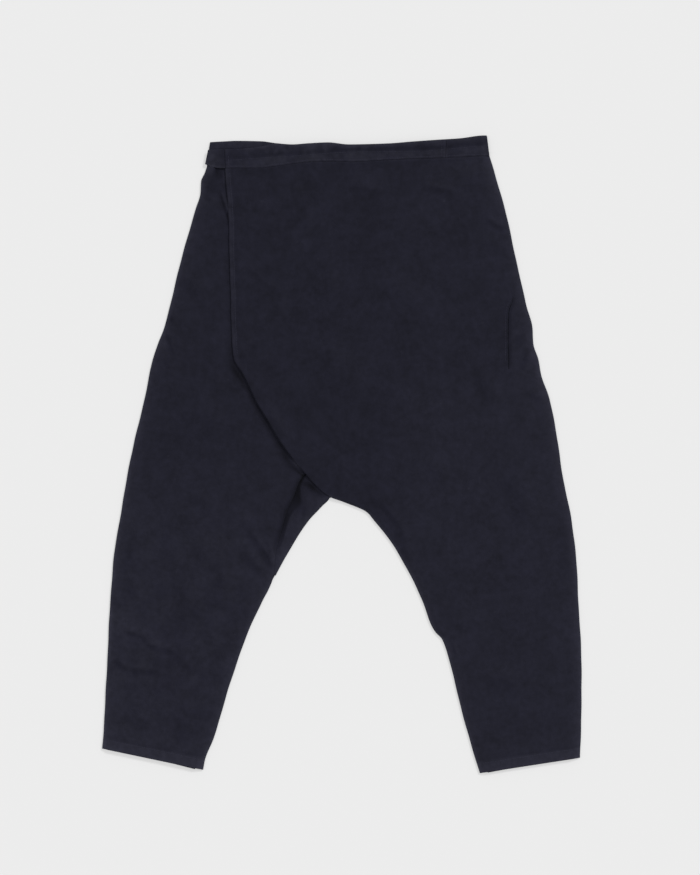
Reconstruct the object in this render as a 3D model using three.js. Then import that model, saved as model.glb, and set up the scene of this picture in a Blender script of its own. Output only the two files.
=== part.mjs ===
// Momohiki pants: wrap-front work trousers with a low crotch and tapered legs, laid flat on their back.
//
// Units are millimetres and +Z is up. The garment rests on z = 0 with its waist towards +Y and its
// front facing up, so the wearer's right leg lies at -X and the left leg, which carries the flap, at
// +X. The origin is the middle of its outline.
//
// Each cut piece is a wall of cloth with its real outline. An edge table runs down the garment, with a
// row for each place where the edge turns. A panel lies between the edge it runs from, on the -X side,
// and the edge it runs to. Its column "level" is the height of a front's underside along that edge:
// one gap above the back where the two are sewn, and higher where the edge covers another piece.
// From its edges a front rises to the loft of cloth that lies free.

import * as THREE from "three";

// ---------------------------------------------------------------------------------------------------
// Driving dimensions
// ---------------------------------------------------------------------------------------------------
const CLOTH = 1.2; // one layer of brushed cotton with its nap
const BAND = 2.2; // the waistband is cloth folded double
const TURNING = 1.0; // the pressed turning inside a hem
const GAP = 0.3; // between pieces that are sewn together or lie on each other
const SEWN = CLOTH + GAP; // underside of a front where it is sewn to a back
const COVER = 3.3; // underside of a front at an edge that covers another single layer
const LOFT = 3.5; // underside of a front away from its edges
const ROUND = 12; // how far in from an edge a front reaches its loft
const WRAP_LIFT = 1.7; // extra height of the flap where the right front lies below it
const WRAP_EASE = 42; // over which the flap comes down past the hidden edge of the right front
const CUFF_HEM = 16; // depth of the turned-up hem of a leg
const CUFF_LIFT = 0.9; // room for the two turnings inside a cuff
const EDGE_HEM = 12; // width of the stitched hem along the flap's upright edge
const EDGE_LIFT = 1.2; // room for that turning under the flap
const ROLL = 1.5; // extra thickness of the soft fold along the flap's diagonal
const ROLL_FADE = 20; // over which that roll comes and goes at its two ends
const UNDERLAP = 12; // how far a covered piece runs on under the edge that hides it
const CROTCH_Y = -62.3; // height of the top of the crotch
const LEG_TILT_FROM = -269; // below here the rows of a leg tilt until they lie along its hem

// ---------------------------------------------------------------------------------------------------
// Edge tables
// ---------------------------------------------------------------------------------------------------
const withLevel = (edge, level) => edge.map((row) => ({ ...row, level }));

const RIGHT_SIDE = [
  { at: "waist seam", y: 418, x: -195.9 },
  { at: "side opening", y: 408, x: -198.9 },
  { at: "middle of opening", y: 398, x: -203.8 },
  { at: "below opening", y: 379, x: -205.3 },
  { at: "high hip", y: 357, x: -212.1 },
  { at: "hip", y: 264, x: -238 },
  { at: "pocket top", y: 183, x: -258 },
  { at: "pocket step", y: 160, x: -267 },
  { at: "pocket foot", y: 137, x: -275 },
  { at: "seat", y: 79, x: -286.5 },
  { at: "top of leg", y: 21, x: -301 },
  { at: "thigh", y: -37, x: -312.5 },
  { at: "middle of thigh", y: -95, x: -322.5 },
  { at: "above knee", y: -153, x: -331.5 },
  { at: "knee", y: -211, x: -336 },
  { at: "calf", y: -385, x: -345 },
  { at: "hem", y: -427, x: -348 },
];

const LEFT_SIDE = [
  { at: "waist seam", y: 433, x: 214 },
  { at: "below band", y: 406.5, x: 222.3 },
  { at: "high hip", y: 345.6, x: 239 },
  { at: "hip", y: 264, x: 256.8 },
  { at: "low hip", y: 218, x: 267.2 },
  { at: "pocket step top", y: 183, x: 276.7 },
  { at: "pocket step", y: 160, x: 278 },
  { at: "pocket foot", y: 137, x: 285 },
  { at: "below pocket", y: 113.6, x: 289.6 },
  { at: "seat", y: 79, x: 301.9 },
  { at: "top of leg", y: 21, x: 312.6 },
  { at: "thigh", y: -37, x: 321.5 },
  { at: "middle of thigh", y: -95, x: 333 },
  { at: "above knee", y: -153, x: 340.3 },
  { at: "knee", y: -211, x: 343 },
  { at: "below knee", y: -269, x: 346.6 },
  { at: "calf", y: -339, x: 348 },
  { at: "hem", y: -440.4, x: 345.7 },
];

const RIGHT_INSEAM = [
  { at: "crotch", y: CROTCH_Y, x: -16.4 },
  { at: "gusset", y: -81, x: -34.4 },
  { at: "gusset middle", y: -95, x: -47.4 },
  { at: "lower thigh", y: -153, x: -83.7 },
  { at: "knee", y: -211, x: -114.3 },
  { at: "below knee", y: -269, x: -140.5 },
  { at: "calf", y: -327, x: -160.4 },
  { at: "above hem", y: -414, x: -187 },
  { at: "hem turning", y: -443, x: -198.4 },
  { at: "hem", y: -457.7, x: -201.4 },
];

const LEFT_INSEAM = [
  { at: "crotch", y: CROTCH_Y, x: -16.4 },
  { at: "crotch seam", y: -69, x: 1.6 },
  { at: "top of inner leg", y: -84, x: 35.7 },
  { at: "inner thigh", y: -95, x: 45.4 },
  { at: "middle of thigh", y: -118, x: 64.7 },
  { at: "lower thigh", y: -141.6, x: 80.5 },
  { at: "knee", y: -211, x: 116 },
  { at: "below knee", y: -246, x: 129 },
  { at: "calf tuck", y: -257.6, x: 135.4 },
  { at: "calf tuck foot", y: -269, x: 145.4 },
  { at: "calf", y: -315.6, x: 160 },
  { at: "above hem", y: -385, x: 177 },
  { at: "hem turning", y: -449, x: 195.8 },
  { at: "hem", y: -462.8, x: 200.2 },
];

const CENTRE_BACK = [
  { at: "waist seam", y: 424, x: 8 },
  { at: "crotch", y: CROTCH_Y, x: -16.4 },
];

// The flap's free edge: upright and hemmed, then a soft fold slanting down to the crotch.
const WRAP_EDGE = [
  { at: "waist seam", y: 415, x: -169.2, level: LOFT },
  { at: "below opening", y: 340, x: -164.3, level: LOFT },
  { at: "middle of hem", y: 253, x: -162, level: LOFT },
  { at: "end of hem", y: 148, x: -158.3, level: LOFT },
  { at: "start of turn", y: 138, x: -157, level: LOFT },
  { at: "turn", y: 130, x: -152.8, level: LOFT },
  { at: "start of fold", y: 116, x: -143.3, level: LOFT },
  { at: "below turn", y: 104, x: -137.3, level: LOFT },
  { at: "upper fold", y: 75, x: -123, level: LOFT },
  { at: "above middle of fold", y: 47, x: -106.5, level: LOFT },
  { at: "below middle of fold", y: 20, x: -90.6, level: LOFT },
  { at: "lower fold", y: -2, x: -74.8, level: LOFT },
  { at: "thigh fold", y: -27.3, x: -53.4, level: LOFT },
  { at: "gusset", y: -43.6, x: -39.3, level: LOFT },
  { at: "crotch", y: CROTCH_Y, x: -16.4, level: COVER },
];

// The mouth of the left pocket: a slit in the front, along a line that runs on above and below it.
const POCKET_LINE = [
  { at: "waist seam", y: 433, x: 190, gape: 0.5 },
  { at: "above mouth", y: 264, x: 239, gape: 0.5 },
  { at: "top of mouth", y: 227, x: 248, gape: 0.5 },
  { at: "upper mouth", y: 208.6, x: 242.4, gape: 1.2 },
  { at: "middle of mouth", y: 184.6, x: 240.9, gape: 1.6 },
  { at: "lower mouth", y: 148, x: 240.9, gape: 1.6 },
  { at: "foot of mouth", y: 123.8, x: 241.5, gape: 0.5 },
  { at: "below mouth", y: 79, x: 250, gape: 0.5 },
  { at: "knee", y: -211, x: 290, gape: 0.5 },
  { at: "hem", y: -462.8, x: 300, gape: 0.5 },
];
const MOUTH_TOP = 227;
const MOUTH_FOOT = 123.8;

// The left front: its flap's free edge, then its inseam; and its side seam.
const LEFT_FRONT_FROM = [...WRAP_EDGE, ...withLevel(LEFT_INSEAM.slice(1), SEWN)];
const LEFT_FRONT_TO = withLevel(LEFT_SIDE, SEWN);

// The right front runs on under the flap, then its fold covers the gusset, then it has its inseam.
const THIGH_FOLD = [
  { at: "hidden edge at waist", y: 428, x: 110, level: LOFT },
  { at: "foot of hidden edge", y: -12, x: -30, level: LOFT },
  { at: "top of thigh fold", y: -29.7, x: -54.4, level: COVER },
  { at: "upper thigh fold", y: -40, x: -62, level: COVER },
  { at: "above middle of fold", y: -60, x: -69.5, level: COVER },
  { at: "middle of thigh fold", y: -84, x: -80.5, level: COVER },
  { at: "below middle of fold", y: -110, x: -87.5, level: COVER },
  { at: "lower thigh fold", y: -140.6, x: -95.5, level: COVER },
  { at: "foot of gusset", y: -178, x: -100, level: COVER },
  { at: "end of thigh fold", y: -196, x: -106.4, level: SEWN },
];
const RIGHT_FRONT_FROM = withLevel(RIGHT_SIDE, SEWN);
const RIGHT_FRONT_TO = [
  ...THIGH_FOLD,
  ...withLevel(RIGHT_INSEAM.filter((row) => row.y < THIGH_FOLD.at(-1).y), SEWN),
];

// The waist along X: the seam below the band, and the top edges of its front and its back.
const WAIST = [
  { x: -198, seam: 420.5, front: 441.5, back: 453 },
  { x: -186, seam: 416.2, front: 441.7, back: 453.5 },
  { x: -171, seam: 414.3, front: 442, back: 454.2 },
  { x: -153, seam: 414.7, front: 442.4, back: 455 },
  { x: -117, seam: 414.8, front: 446, back: 454.4 },
  { x: -96, seam: 417.5, front: 450.6, back: 451.7 },
  { x: -72, seam: 420.8, front: 448.9, back: 449.9 },
  { x: -49, seam: 423.4, front: 450.4, back: 451.5 },
  { x: -20, seam: 424.4, front: 451.7, back: 452.8 },
  { x: 10, seam: 423.9, front: 448.8, back: 449.9 },
  { x: 66, seam: 426.5, front: 450.2, back: 451.3 },
  { x: 101, seam: 428, front: 452.9, back: 454 },
  { x: 136, seam: 429.2, front: 455.4, back: 456.5 },
  { x: 171, seam: 431, front: 457.6, back: 458.7 },
  { x: 206, seam: 432.6, front: 461.6, back: 462.8 },
  { x: 214, seam: 433, front: 461.6, back: 462.8 },
];

// The largest folds and hollows: a line, the half width that each fades over, and its rise or fall.
const RIGHT_FRONT_FOLDS = [
  { name: "hollow at side opening", x1: -190, y1: 408, x2: -186, y2: 388, half: 20, rise: -1.6 },
  { name: "crease below pocket", x1: -253, y1: 180, x2: -245, y2: 142, half: 10, rise: -0.9 },
  { name: "crease below gusset", x1: -138, y1: -112, x2: -114, y2: -155, half: 13, rise: -1.1 },
  { name: "crease on calf", x1: -300, y1: -278, x2: -246, y2: -298, half: 14, rise: -0.9 },
];
const LEFT_FRONT_FOLDS = [
  { name: "belly", x1: 20, y1: 310, x2: 30, y2: 60, half: 120, rise: 1.7 },
  { name: "hollow below band", x1: -3, y1: 383, x2: 62, y2: 364, half: 22, rise: -0.9 },
  { name: "hollow at left hip", x1: 128, y1: 388, x2: 171, y2: 375, half: 20, rise: -0.9 },
  { name: "crease at inner thigh", x1: 42, y1: -58, x2: 104, y2: -171, half: 15, rise: -1.2 },
];

// Where the rows of the panels lie, between the waist seam and the tilting rows of the lower leg.
const TILT_SHARES = [0.2, 0.4, 0.6, 0.8, 0.9, 1];
const BACK_ROWS = [
  408, 398, 379, 357, 264, 218, 183, 160, 137, 113.6, 79, 21, -37, CROTCH_Y, -69, -84, -95, -118, -153,
  -211, -246, LEG_TILT_FROM,
];
const RIGHT_FRONT_ROWS = [
  408, 398, 379, 357, 340, 300, 264, 223, 183, 160, 137, 108, 79, 50, 21, -12, -29.7, -40, -60, -84, -110,
  -140.6, -158, -178, -196, -211, -240, LEG_TILT_FROM,
];
const LEFT_FRONT_ROWS = [
  400, 378, 345.6, 310, 285, 264, 245, MOUTH_TOP, 208.6, 184.6, 160, 148, 138, 130, MOUTH_FOOT, 116, 104,
  90, 75, 47, 20, -2, -27.3, -43.6, CROTCH_Y, -69, -76, -84, -95, -118, -141.6, -176, -211, -246, -257.6,
  LEG_TILT_FROM,
];

// ---------------------------------------------------------------------------------------------------
// Reading the tables
// ---------------------------------------------------------------------------------------------------

/** One column of a table at a value of its key column, straight between the table's rows. */
function read(table, key, column, value) {
  const way = Math.sign(table.at(-1)[key] - table[0][key]);
  const next = table.findIndex((row) => way * row[key] >= way * value);
  if (next <= 0) {
    return next < 0 ? table.at(-1)[column] : table[0][column];
  }
  const before = table[next - 1];
  const after = table[next];
  return THREE.MathUtils.mapLinear(value, before[key], after[key], before[column], after[column]);
}

const edgeX = (edge, y) => read(edge, "y", "x", y);
const edgeLevel = (edge, y) => read(edge, "y", "level", y);
const seamY = (x) => read(WAIST, "x", "seam", x);

/** 0 up to the start of a stretch, 1 from its end on, and a smooth step between. */
const ease = (distance, stretch) => THREE.MathUtils.smoothstep(distance, 0, stretch);

/** Height that a table of folds adds at a point: each fades evenly away from its line. */
function foldHeight(folds, x, y) {
  const point = new THREE.Vector3(x, y, 0);
  return folds.reduce((height, fold) => {
    const start = new THREE.Vector3(fold.x1, fold.y1, 0);
    const end = new THREE.Vector3(fold.x2, fold.y2, 0);
    const nearest = new THREE.Line3(start, end).closestPointToPoint(point, true, new THREE.Vector3());
    return height + fold.rise * Math.exp(-((nearest.distanceTo(point) / fold.half) ** 2));
  }, 0);
}

/** Height of the straight hem between the ends of two edges. */
function hemY(side, inseam, x) {
  const outer = side.at(-1);
  const inner = inseam.at(-1);
  return THREE.MathUtils.mapLinear(x, outer.x, inner.x, outer.y, inner.y);
}

// ---------------------------------------------------------------------------------------------------
// Heights of the fronts
// ---------------------------------------------------------------------------------------------------

/** Underside of a front between two edges, and how far inside them the point is, from 0 to 1. */
function loftBetween(from, to, x, y) {
  const pastFrom = ease(x - edgeX(from, y), ROUND);
  const beforeTo = ease(edgeX(to, y) - x, ROUND);
  const drop = (LOFT - edgeLevel(from, y)) * (1 - pastFrom) + (LOFT - edgeLevel(to, y)) * (1 - beforeTo);
  return { height: LOFT - drop, inside: Math.min(pastFrom, beforeTo) };
}

/** Room that a leg's cuff gives to the turnings inside it. */
function cuffLift(side, inseam, x, y) {
  const aboveTurning = y - hemY(side, inseam, x) - CUFF_HEM - 2;
  return CUFF_LIFT * (1 - ease(aboveTurning, 2 * CUFF_HEM));
}

function rightFrontUnder(x, y) {
  const { height, inside } = loftBetween(RIGHT_FRONT_FROM, RIGHT_FRONT_TO, x, y);
  return height + inside * (cuffLift(RIGHT_SIDE, RIGHT_INSEAM, x, y) + foldHeight(RIGHT_FRONT_FOLDS, x, y));
}

function leftFrontUnder(x, y) {
  const { height, inside } = loftBetween(LEFT_FRONT_FROM, LEFT_FRONT_TO, x, y);
  const pastHiddenEdge = ease(x - edgeX(RIGHT_FRONT_TO, y) - GAP * UNDERLAP, WRAP_EASE);
  const wrap = WRAP_LIFT * (1 - pastHiddenEdge) * ease(y - CROTCH_Y, 34);
  const pastFreeEdge = x - edgeX(LEFT_FRONT_FROM, y);
  const aboveFold = ease(y - 130, 16);
  const hem = EDGE_LIFT * (1 - ease(pastFreeEdge - EDGE_HEM - 2, EDGE_HEM)) * aboveFold;
  const folds = ease(pastFreeEdge, 2 * ROUND) * foldHeight(LEFT_FRONT_FOLDS, x, y);
  return height + wrap + hem + inside * (cuffLift(LEFT_SIDE, LEFT_INSEAM, x, y) + folds);
}

/** The flap's diagonal edge is a soft roll, thicker than one layer. */
function leftFrontThickness(x, y) {
  const alongFold = ease(146 - y, 1.5 * ROLL_FADE) * ease(y + 56, ROLL_FADE);
  return CLOTH + ROLL * alongFold * (1 - ease(x - edgeX(LEFT_FRONT_FROM, y), ROUND));
}

/** Underside of the front waistband: that of the left front at their seam, clear of what is below. */
function frontBandUnder(x) {
  return Math.max(leftFrontUnder(x, seamY(x) - GAP), BAND + GAP);
}

// ---------------------------------------------------------------------------------------------------
// Solids
// ---------------------------------------------------------------------------------------------------
const garment = new THREE.Group();
garment.name = "momohiki_pants";
const navyCloth = { color: 0x22222c, roughness: 0.95, metalness: 0 };

/**
 * A closed wall of cloth on a grid. Rows run down the garment and columns towards +X;
 * place(column, row) gives a point as { x, y, under, over }. isOpen(row, column) says which cells are cut
 * out. A rim joins the two faces all round the piece and round what is cut out of it.
 */
function addPiece(name, columns, rows, place, isOpen = () => false) {
  const points = rows.flatMap((row) => columns.map((column) => place(column, row)));
  const upper = points.flatMap((point) => [point.x, point.y, point.over]);
  const lower = points.flatMap((point) => [point.x, point.y, point.under]);
  const [lastRow, lastColumn] = [rows.length - 1, columns.length - 1];
  const over = (row, column) => row * columns.length + column;
  const under = (row, column) => over(row, column) + points.length;
  const inGrid = (row, column) => row >= 0 && row < lastRow && column >= 0 && column < lastColumn;
  const isCloth = (row, column) => inGrid(row, column) && !isOpen(row, column);
  const index = [];
  const addRim = (start, end) => {
    index.push(under(...start), under(...end), over(...end), under(...start), over(...end), over(...start));
  };
  for (let row = 0; row < lastRow; row += 1) {
    for (let column = 0; column < lastColumn; column += 1) {
      if (isCloth(row, column)) {
        const corners = [[row, column], [row + 1, column], [row + 1, column + 1], [row, column + 1]];
        const beside = [[row, column - 1], [row + 1, column], [row, column + 1], [row - 1, column]];
        const [a, b, c, d] = corners.map((corner) => over(...corner));
        const [e, f, g, h] = corners.map((corner) => under(...corner));
        index.push(a, b, c, a, c, d, e, g, f, e, h, g);
        beside.forEach((cell, side) => {
          if (!isCloth(...cell)) {
            addRim(corners[side], corners[(side + 1) % 4]);
          }
        });
      }
    }
  }
  const geometry = new THREE.BufferGeometry();
  geometry.setAttribute("position", new THREE.Float32BufferAttribute([...upper, ...lower], 3));
  geometry.setIndex(index);
  geometry.computeVertexNormals();
  const mesh = new THREE.Mesh(geometry, new THREE.MeshStandardMaterial(navyCloth));
  mesh.name = name;
  garment.add(mesh);
}

/** Shares of a panel's width: one at each row of the waist table, and more towards its two edges. */
function waistColumns(from, to, extra) {
  const shares = WAIST.map((row) => (row.x - from[0].x) / (to[0].x - from[0].x));
  const between = [...shares, ...extra].filter((share) => share > 0.01 && share < 0.99);
  return [0, ...between.sort((a, b) => a - b), 1];
}

/** The rows of a panel: along the waist seam, then level, then tilting to lie along the hem. */
function panelRows(heights, from, to) {
  return [
    { seam: true, fromY: seamY(from[0].x), toY: seamY(to[0].x) },
    ...heights.map((y) => ({ fromY: y, toY: y })),
    ...TILT_SHARES.map((share) => ({
      fromY: THREE.MathUtils.lerp(LEG_TILT_FROM, from.at(-1).y, share),
      toY: THREE.MathUtils.lerp(LEG_TILT_FROM, to.at(-1).y, share),
    })),
  ];
}

/** A panel between two edges, from the waist seam to the hem. */
function addPanel(name, { from, to, heights, extraColumns, under, thickness }) {
  addPiece(name, waistColumns(from, to, extraColumns), panelRows(heights, from, to), (share, row) => {
    const x = THREE.MathUtils.lerp(edgeX(from, row.fromY), edgeX(to, row.toY), share);
    const y = row.seam ? seamY(x) - GAP : THREE.MathUtils.lerp(row.fromY, row.toY, share);
    const base = under(x, y);
    return { x, y, under: base, over: base + thickness(x, y) };
  });
}

/** The left front: as any panel, with two columns along the lips of the pocket's mouth. */
function addLeftFront() {
  const [from, to] = [LEFT_FRONT_FROM, LEFT_FRONT_TO];
  const inner = waistColumns(from, POCKET_LINE, [0.018, 0.042, 0.072, 0.105]);
  const outer = [0, 0.45, 0.75, 1];
  const columns = [
    ...inner.map((share) => ({ share, lip: -1 })),
    ...outer.map((share) => ({ share, lip: 1 })),
  ];
  const rows = panelRows(LEFT_FRONT_ROWS, from, to);
  const place = ({ share, lip }, row) => {
    const slitY = (row.fromY + row.toY) / 2;
    const lipX = edgeX(POCKET_LINE, slitY) + (lip * read(POCKET_LINE, "y", "gape", slitY)) / 2;
    const fromX = edgeX(from, row.fromY);
    const toX = edgeX(to, row.toY);
    const x = lip < 0 ? THREE.MathUtils.lerp(fromX, lipX, share) : THREE.MathUtils.lerp(lipX, toX, share);
    const y = row.seam ? seamY(x) - GAP : THREE.MathUtils.mapLinear(x, fromX, toX, row.fromY, row.toY);
    const under = leftFrontUnder(x, y);
    return { x, y, under, over: under + leftFrontThickness(x, y) };
  };
  const betweenLips = inner.length - 1;
  const inMouth = (row) => rows[row].toY <= MOUTH_TOP && rows[row + 1].toY >= MOUTH_FOOT;
  addPiece("front_left", columns, rows, place, (row, column) => column === betweenLips && inMouth(row));
}

function addBacks() {
  const shifted = (edge, offset) => edge.map((row) => ({ ...row, x: row.x + offset }));
  const flat = { heights: BACK_ROWS, extraColumns: [], under: () => 0, thickness: () => CLOTH };
  const rightCentre = [...shifted(CENTRE_BACK, -GAP / 2), ...RIGHT_INSEAM.slice(1)];
  const leftCentre = [...shifted(CENTRE_BACK, GAP / 2), ...LEFT_INSEAM.slice(1)];
  addPanel("back_right", { ...flat, from: RIGHT_SIDE, to: rightCentre });
  addPanel("back_left", { ...flat, from: leftCentre, to: LEFT_SIDE });
}

function addFronts() {
  addPanel("front_right", {
    from: RIGHT_FRONT_FROM,
    to: RIGHT_FRONT_TO,
    heights: RIGHT_FRONT_ROWS,
    extraColumns: [0.02, 0.048, 0.2, 0.9, 0.96],
    under: rightFrontUnder,
    thickness: () => CLOTH,
  });
  addLeftFront();
}

/** A flat piece one layer thick, sewn on the back: it lies between x = from(y) and x = to(y). */
function addSecondLayer(name, heights, from, to) {
  addPiece(name, [0, 0.35, 0.7, 1], heights, (share, y) => {
    const x = THREE.MathUtils.lerp(from(y), to(y), share);
    return { x, y, under: SEWN, over: SEWN + CLOTH };
  });
}

/** The gusset at the crotch: it shows between the right thigh's fold and the inseam. */
function addCrotchGusset() {
  const heights = [-24, -40, CROTCH_Y, -84, -95, -110, -136, -153, -165, -176];
  const foldX = (y) => Math.min(edgeX(RIGHT_FRONT_TO, y), -54.4);
  const from = (y) => foldX(y) - UNDERLAP * ease(y - heights.at(-1) + 8, 50);
  const to = (y) => (y > CROTCH_Y ? edgeX(WRAP_EDGE, y) + 1.5 * UNDERLAP : edgeX(RIGHT_INSEAM, y));
  addSecondLayer("crotch_gusset", heights, from, to);
}

/** The cloth behind the left pocket's mouth: it lies on the back, under the front. */
function addPocketFacing() {
  const heights = [240, MOUTH_TOP, 208.6, 184.6, 160, 148, 137, MOUTH_FOOT, 111];
  const from = (y) => edgeX(POCKET_LINE, y) - UNDERLAP;
  const to = (y) => edgeX(LEFT_SIDE, y) - ROUND - 2 * GAP;
  addSecondLayer("pocket_facing_left", heights, from, to);
}

/** The turning of the flap's upright edge, pressed flat under it. */
function addWrapEdgeHem() {
  const heights = [410, 385, 370, 340, 300, 264, 223, 183, 150];
  const under = LOFT + CLOTH + GAP + 0.1;
  addPiece("wrap_edge_hem", [1, EDGE_HEM / 2, EDGE_HEM], heights, (inward, y) => {
    return { x: edgeX(WRAP_EDGE, y) + inward, y, under, over: under + TURNING };
  });
}

/** The turned-up hems inside a cuff: one on the back, one under the front. */
function addCuffHems(wearerSide, from, to) {
  const undersides = { back: SEWN, front: SEWN + TURNING + GAP };
  const [start, end] = [from.at(-1), to.at(-1)];
  for (const [layer, under] of Object.entries(undersides)) {
    const name = `hem_${layer}_${wearerSide}`;
    addPiece(name, [0, 0.25, 0.5, 0.75, 1], [CUFF_HEM, 1], (share, rise) => {
      const startX = edgeX(from, start.y + rise) + ROUND;
      const endX = edgeX(to, end.y + rise) - ROUND;
      const x = THREE.MathUtils.lerp(startX, endX, share);
      return { x, y: hemY(from, to, x) + rise, under, over: under + TURNING };
    });
  }
}

/** A strip of the waistband, from its foot on the seam to its top edge, with ends that slant. */
function addBand(name, { start, end, topEdge, under, extra = [] }) {
  const places = [...WAIST.map((row) => row.x), ...extra].sort((a, b) => a - b);
  const feet = [start.foot, ...places.filter((x) => x > start.foot + 1 && x < end.foot - 1), end.foot];
  addPiece(name, feet, [1, 0.55, 0.45, 0], (foot, height) => {
    const slant = foot === start.foot ? start.top - foot : foot === end.foot ? end.top - foot : 0;
    const y = THREE.MathUtils.lerp(seamY(foot), read(WAIST, "x", topEdge, foot), height);
    return { x: foot + slant * height, y, under: under(foot), over: under(foot) + BAND };
  });
}

/** The waistband: its back, the band of the right front, and the flap's band with its two ends. */
function addWaistband() {
  const tabEnd = { foot: -198.6, top: -194.2 };
  const tabUnder = (x) => THREE.MathUtils.lerp(BAND + GAP, frontBandUnder(-168), ease(x - tabEnd.foot, 11));
  addBand("waistband_back", {
    start: { foot: -196.6, top: -191.4 },
    end: { foot: 213.4, top: 210 },
    topEdge: "back",
    under: () => 0,
  });
  addBand("waistband_right", {
    start: { foot: -186, top: -184 },
    end: { foot: 110, top: 112 },
    topEdge: "front",
    under: () => BAND + GAP,
  });
  addBand("waistband_tab", {
    start: tabEnd,
    end: { foot: -169.4, top: -170.4 },
    topEdge: "front",
    under: tabUnder,
    extra: [-192, -187, -180],
  });
  addBand("waistband_front", {
    start: { foot: -169, top: -170 },
    end: { foot: 150, top: 151 },
    topEdge: "front",
    under: frontBandUnder,
    extra: [-163, -145, 118],
  });
  addBand("waistband_side", {
    start: { foot: 150.4, top: 151.4 },
    end: { foot: 214, top: 210.4 },
    topEdge: "front",
    under: frontBandUnder,
    extra: [160, 190],
  });
}

addBacks();
addCrotchGusset();
addPocketFacing();
addCuffHems("right", RIGHT_SIDE, RIGHT_INSEAM);
addCuffHems("left", LEFT_INSEAM, LEFT_SIDE);
addFronts();
addWrapEdgeHem();
addWaistband();

export default garment;
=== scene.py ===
# %% [markdown]
# # Momohiki pants, laid flat
# Momohiki are Japanese work trousers. This pair is cut from dark navy brushed cotton: wide at the hips,
# low at the crotch and narrow at the ankle. The left front carries a flap that closes over the right
# front, first along an upright hemmed edge and then along a soft slanting fold. The garment lies on its
# back, so every piece here is a thin sheet that rests on the sheet below it.

# %% Load the frame
import math

import bpy
import numpy as np
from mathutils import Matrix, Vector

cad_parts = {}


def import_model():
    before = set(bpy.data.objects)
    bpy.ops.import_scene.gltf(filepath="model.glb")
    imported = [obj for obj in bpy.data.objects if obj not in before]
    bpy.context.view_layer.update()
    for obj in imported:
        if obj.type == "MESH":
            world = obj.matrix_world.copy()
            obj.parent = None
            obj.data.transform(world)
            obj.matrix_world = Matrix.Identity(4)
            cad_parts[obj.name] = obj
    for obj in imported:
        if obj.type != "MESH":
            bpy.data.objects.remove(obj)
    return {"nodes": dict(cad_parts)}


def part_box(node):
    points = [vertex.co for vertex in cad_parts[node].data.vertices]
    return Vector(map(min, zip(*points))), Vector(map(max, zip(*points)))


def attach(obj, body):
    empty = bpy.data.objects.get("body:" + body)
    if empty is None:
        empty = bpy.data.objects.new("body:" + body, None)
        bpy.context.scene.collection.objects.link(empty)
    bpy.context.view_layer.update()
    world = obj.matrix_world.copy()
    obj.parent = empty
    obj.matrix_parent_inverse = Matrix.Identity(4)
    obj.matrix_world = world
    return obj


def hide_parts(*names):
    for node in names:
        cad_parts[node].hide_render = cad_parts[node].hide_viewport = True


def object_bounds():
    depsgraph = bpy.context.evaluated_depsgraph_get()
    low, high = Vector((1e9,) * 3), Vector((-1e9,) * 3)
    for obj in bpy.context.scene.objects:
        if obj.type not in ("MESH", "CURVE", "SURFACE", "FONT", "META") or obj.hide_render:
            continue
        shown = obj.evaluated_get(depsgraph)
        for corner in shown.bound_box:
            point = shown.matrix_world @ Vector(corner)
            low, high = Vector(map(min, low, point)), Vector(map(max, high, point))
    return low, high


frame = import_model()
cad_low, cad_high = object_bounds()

print("frame:", len(frame["nodes"]), "nodes, box", [round(v, 4) for v in (*cad_low, *cad_high)])

# %% [markdown]
# ## One unit for the whole pattern
# A pattern maker works in millimetres on a paper pattern. The pattern's own length is 925.6 mm from the
# waist to the lower hem, so the frame's length says what one of its millimetres is in metres. The heights
# of the layers come from the frame as well, because a sheet has to lie exactly on the one below it.

# %% Units and layer heights
PATTERN_LENGTH = 925.6
MM = (cad_high.y - cad_low.y) / PATTERN_LENGTH


def low_of(node):
    """Height of a node's underside, in pattern millimetres."""
    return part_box(node)[0].z / MM


def high_of(node):
    """Height of a node's top, in pattern millimetres."""
    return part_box(node)[1].z / MM


CLOTH = high_of("back_left")  # one layer, its nap included
BAND = high_of("waistband_back")  # the waistband's doubled cloth
SECOND = low_of("crotch_gusset")  # underside of whatever is sewn on a back
SECOND_TOP = high_of("crotch_gusset")
GAP = SECOND - CLOTH
FABRIC = CLOTH - 0.2  # the wall of a sheet here; the rest of a layer is air
print(f"one layer {CLOTH:.2f} mm, band {BAND:.2f} mm, gap {GAP:.2f} mm, unit {MM:.6f} m")

# %% [markdown]
# ## Reading a pattern table
# A pattern's edge is a short table: a row for each place where the edge turns. A straight line between
# rows would show as a corner on a real garment, so the curve through the rows is a cubic whose slope at
# each row is the harmonic mean of the slopes on both sides. That curve never swings past a row, which
# matters where the edge takes a step.

# %% Curves through tables
def ease(distance, stretch):
    """0 before a stretch, 1 after it, and the smooth step 3t^2 - 2t^3 between."""
    t = np.clip(distance / stretch, 0.0, 1.0)
    return t * t * (3.0 - 2.0 * t)


def bell(distance, half):
    """exp(-(distance / half)^2): 1 in the middle, 0.37 at the half width, and soon 0."""
    return np.exp(-((distance / half) ** 2))


def records(columns, rows):
    """Rows with named columns."""
    return np.array([tuple(row) for row in rows], dtype=[(name, float) for name in columns.split()])


def table(columns, rows):
    """Rows with named columns, sorted by the first of them."""
    return np.sort(records(columns, rows), order=columns.split()[0])


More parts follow.
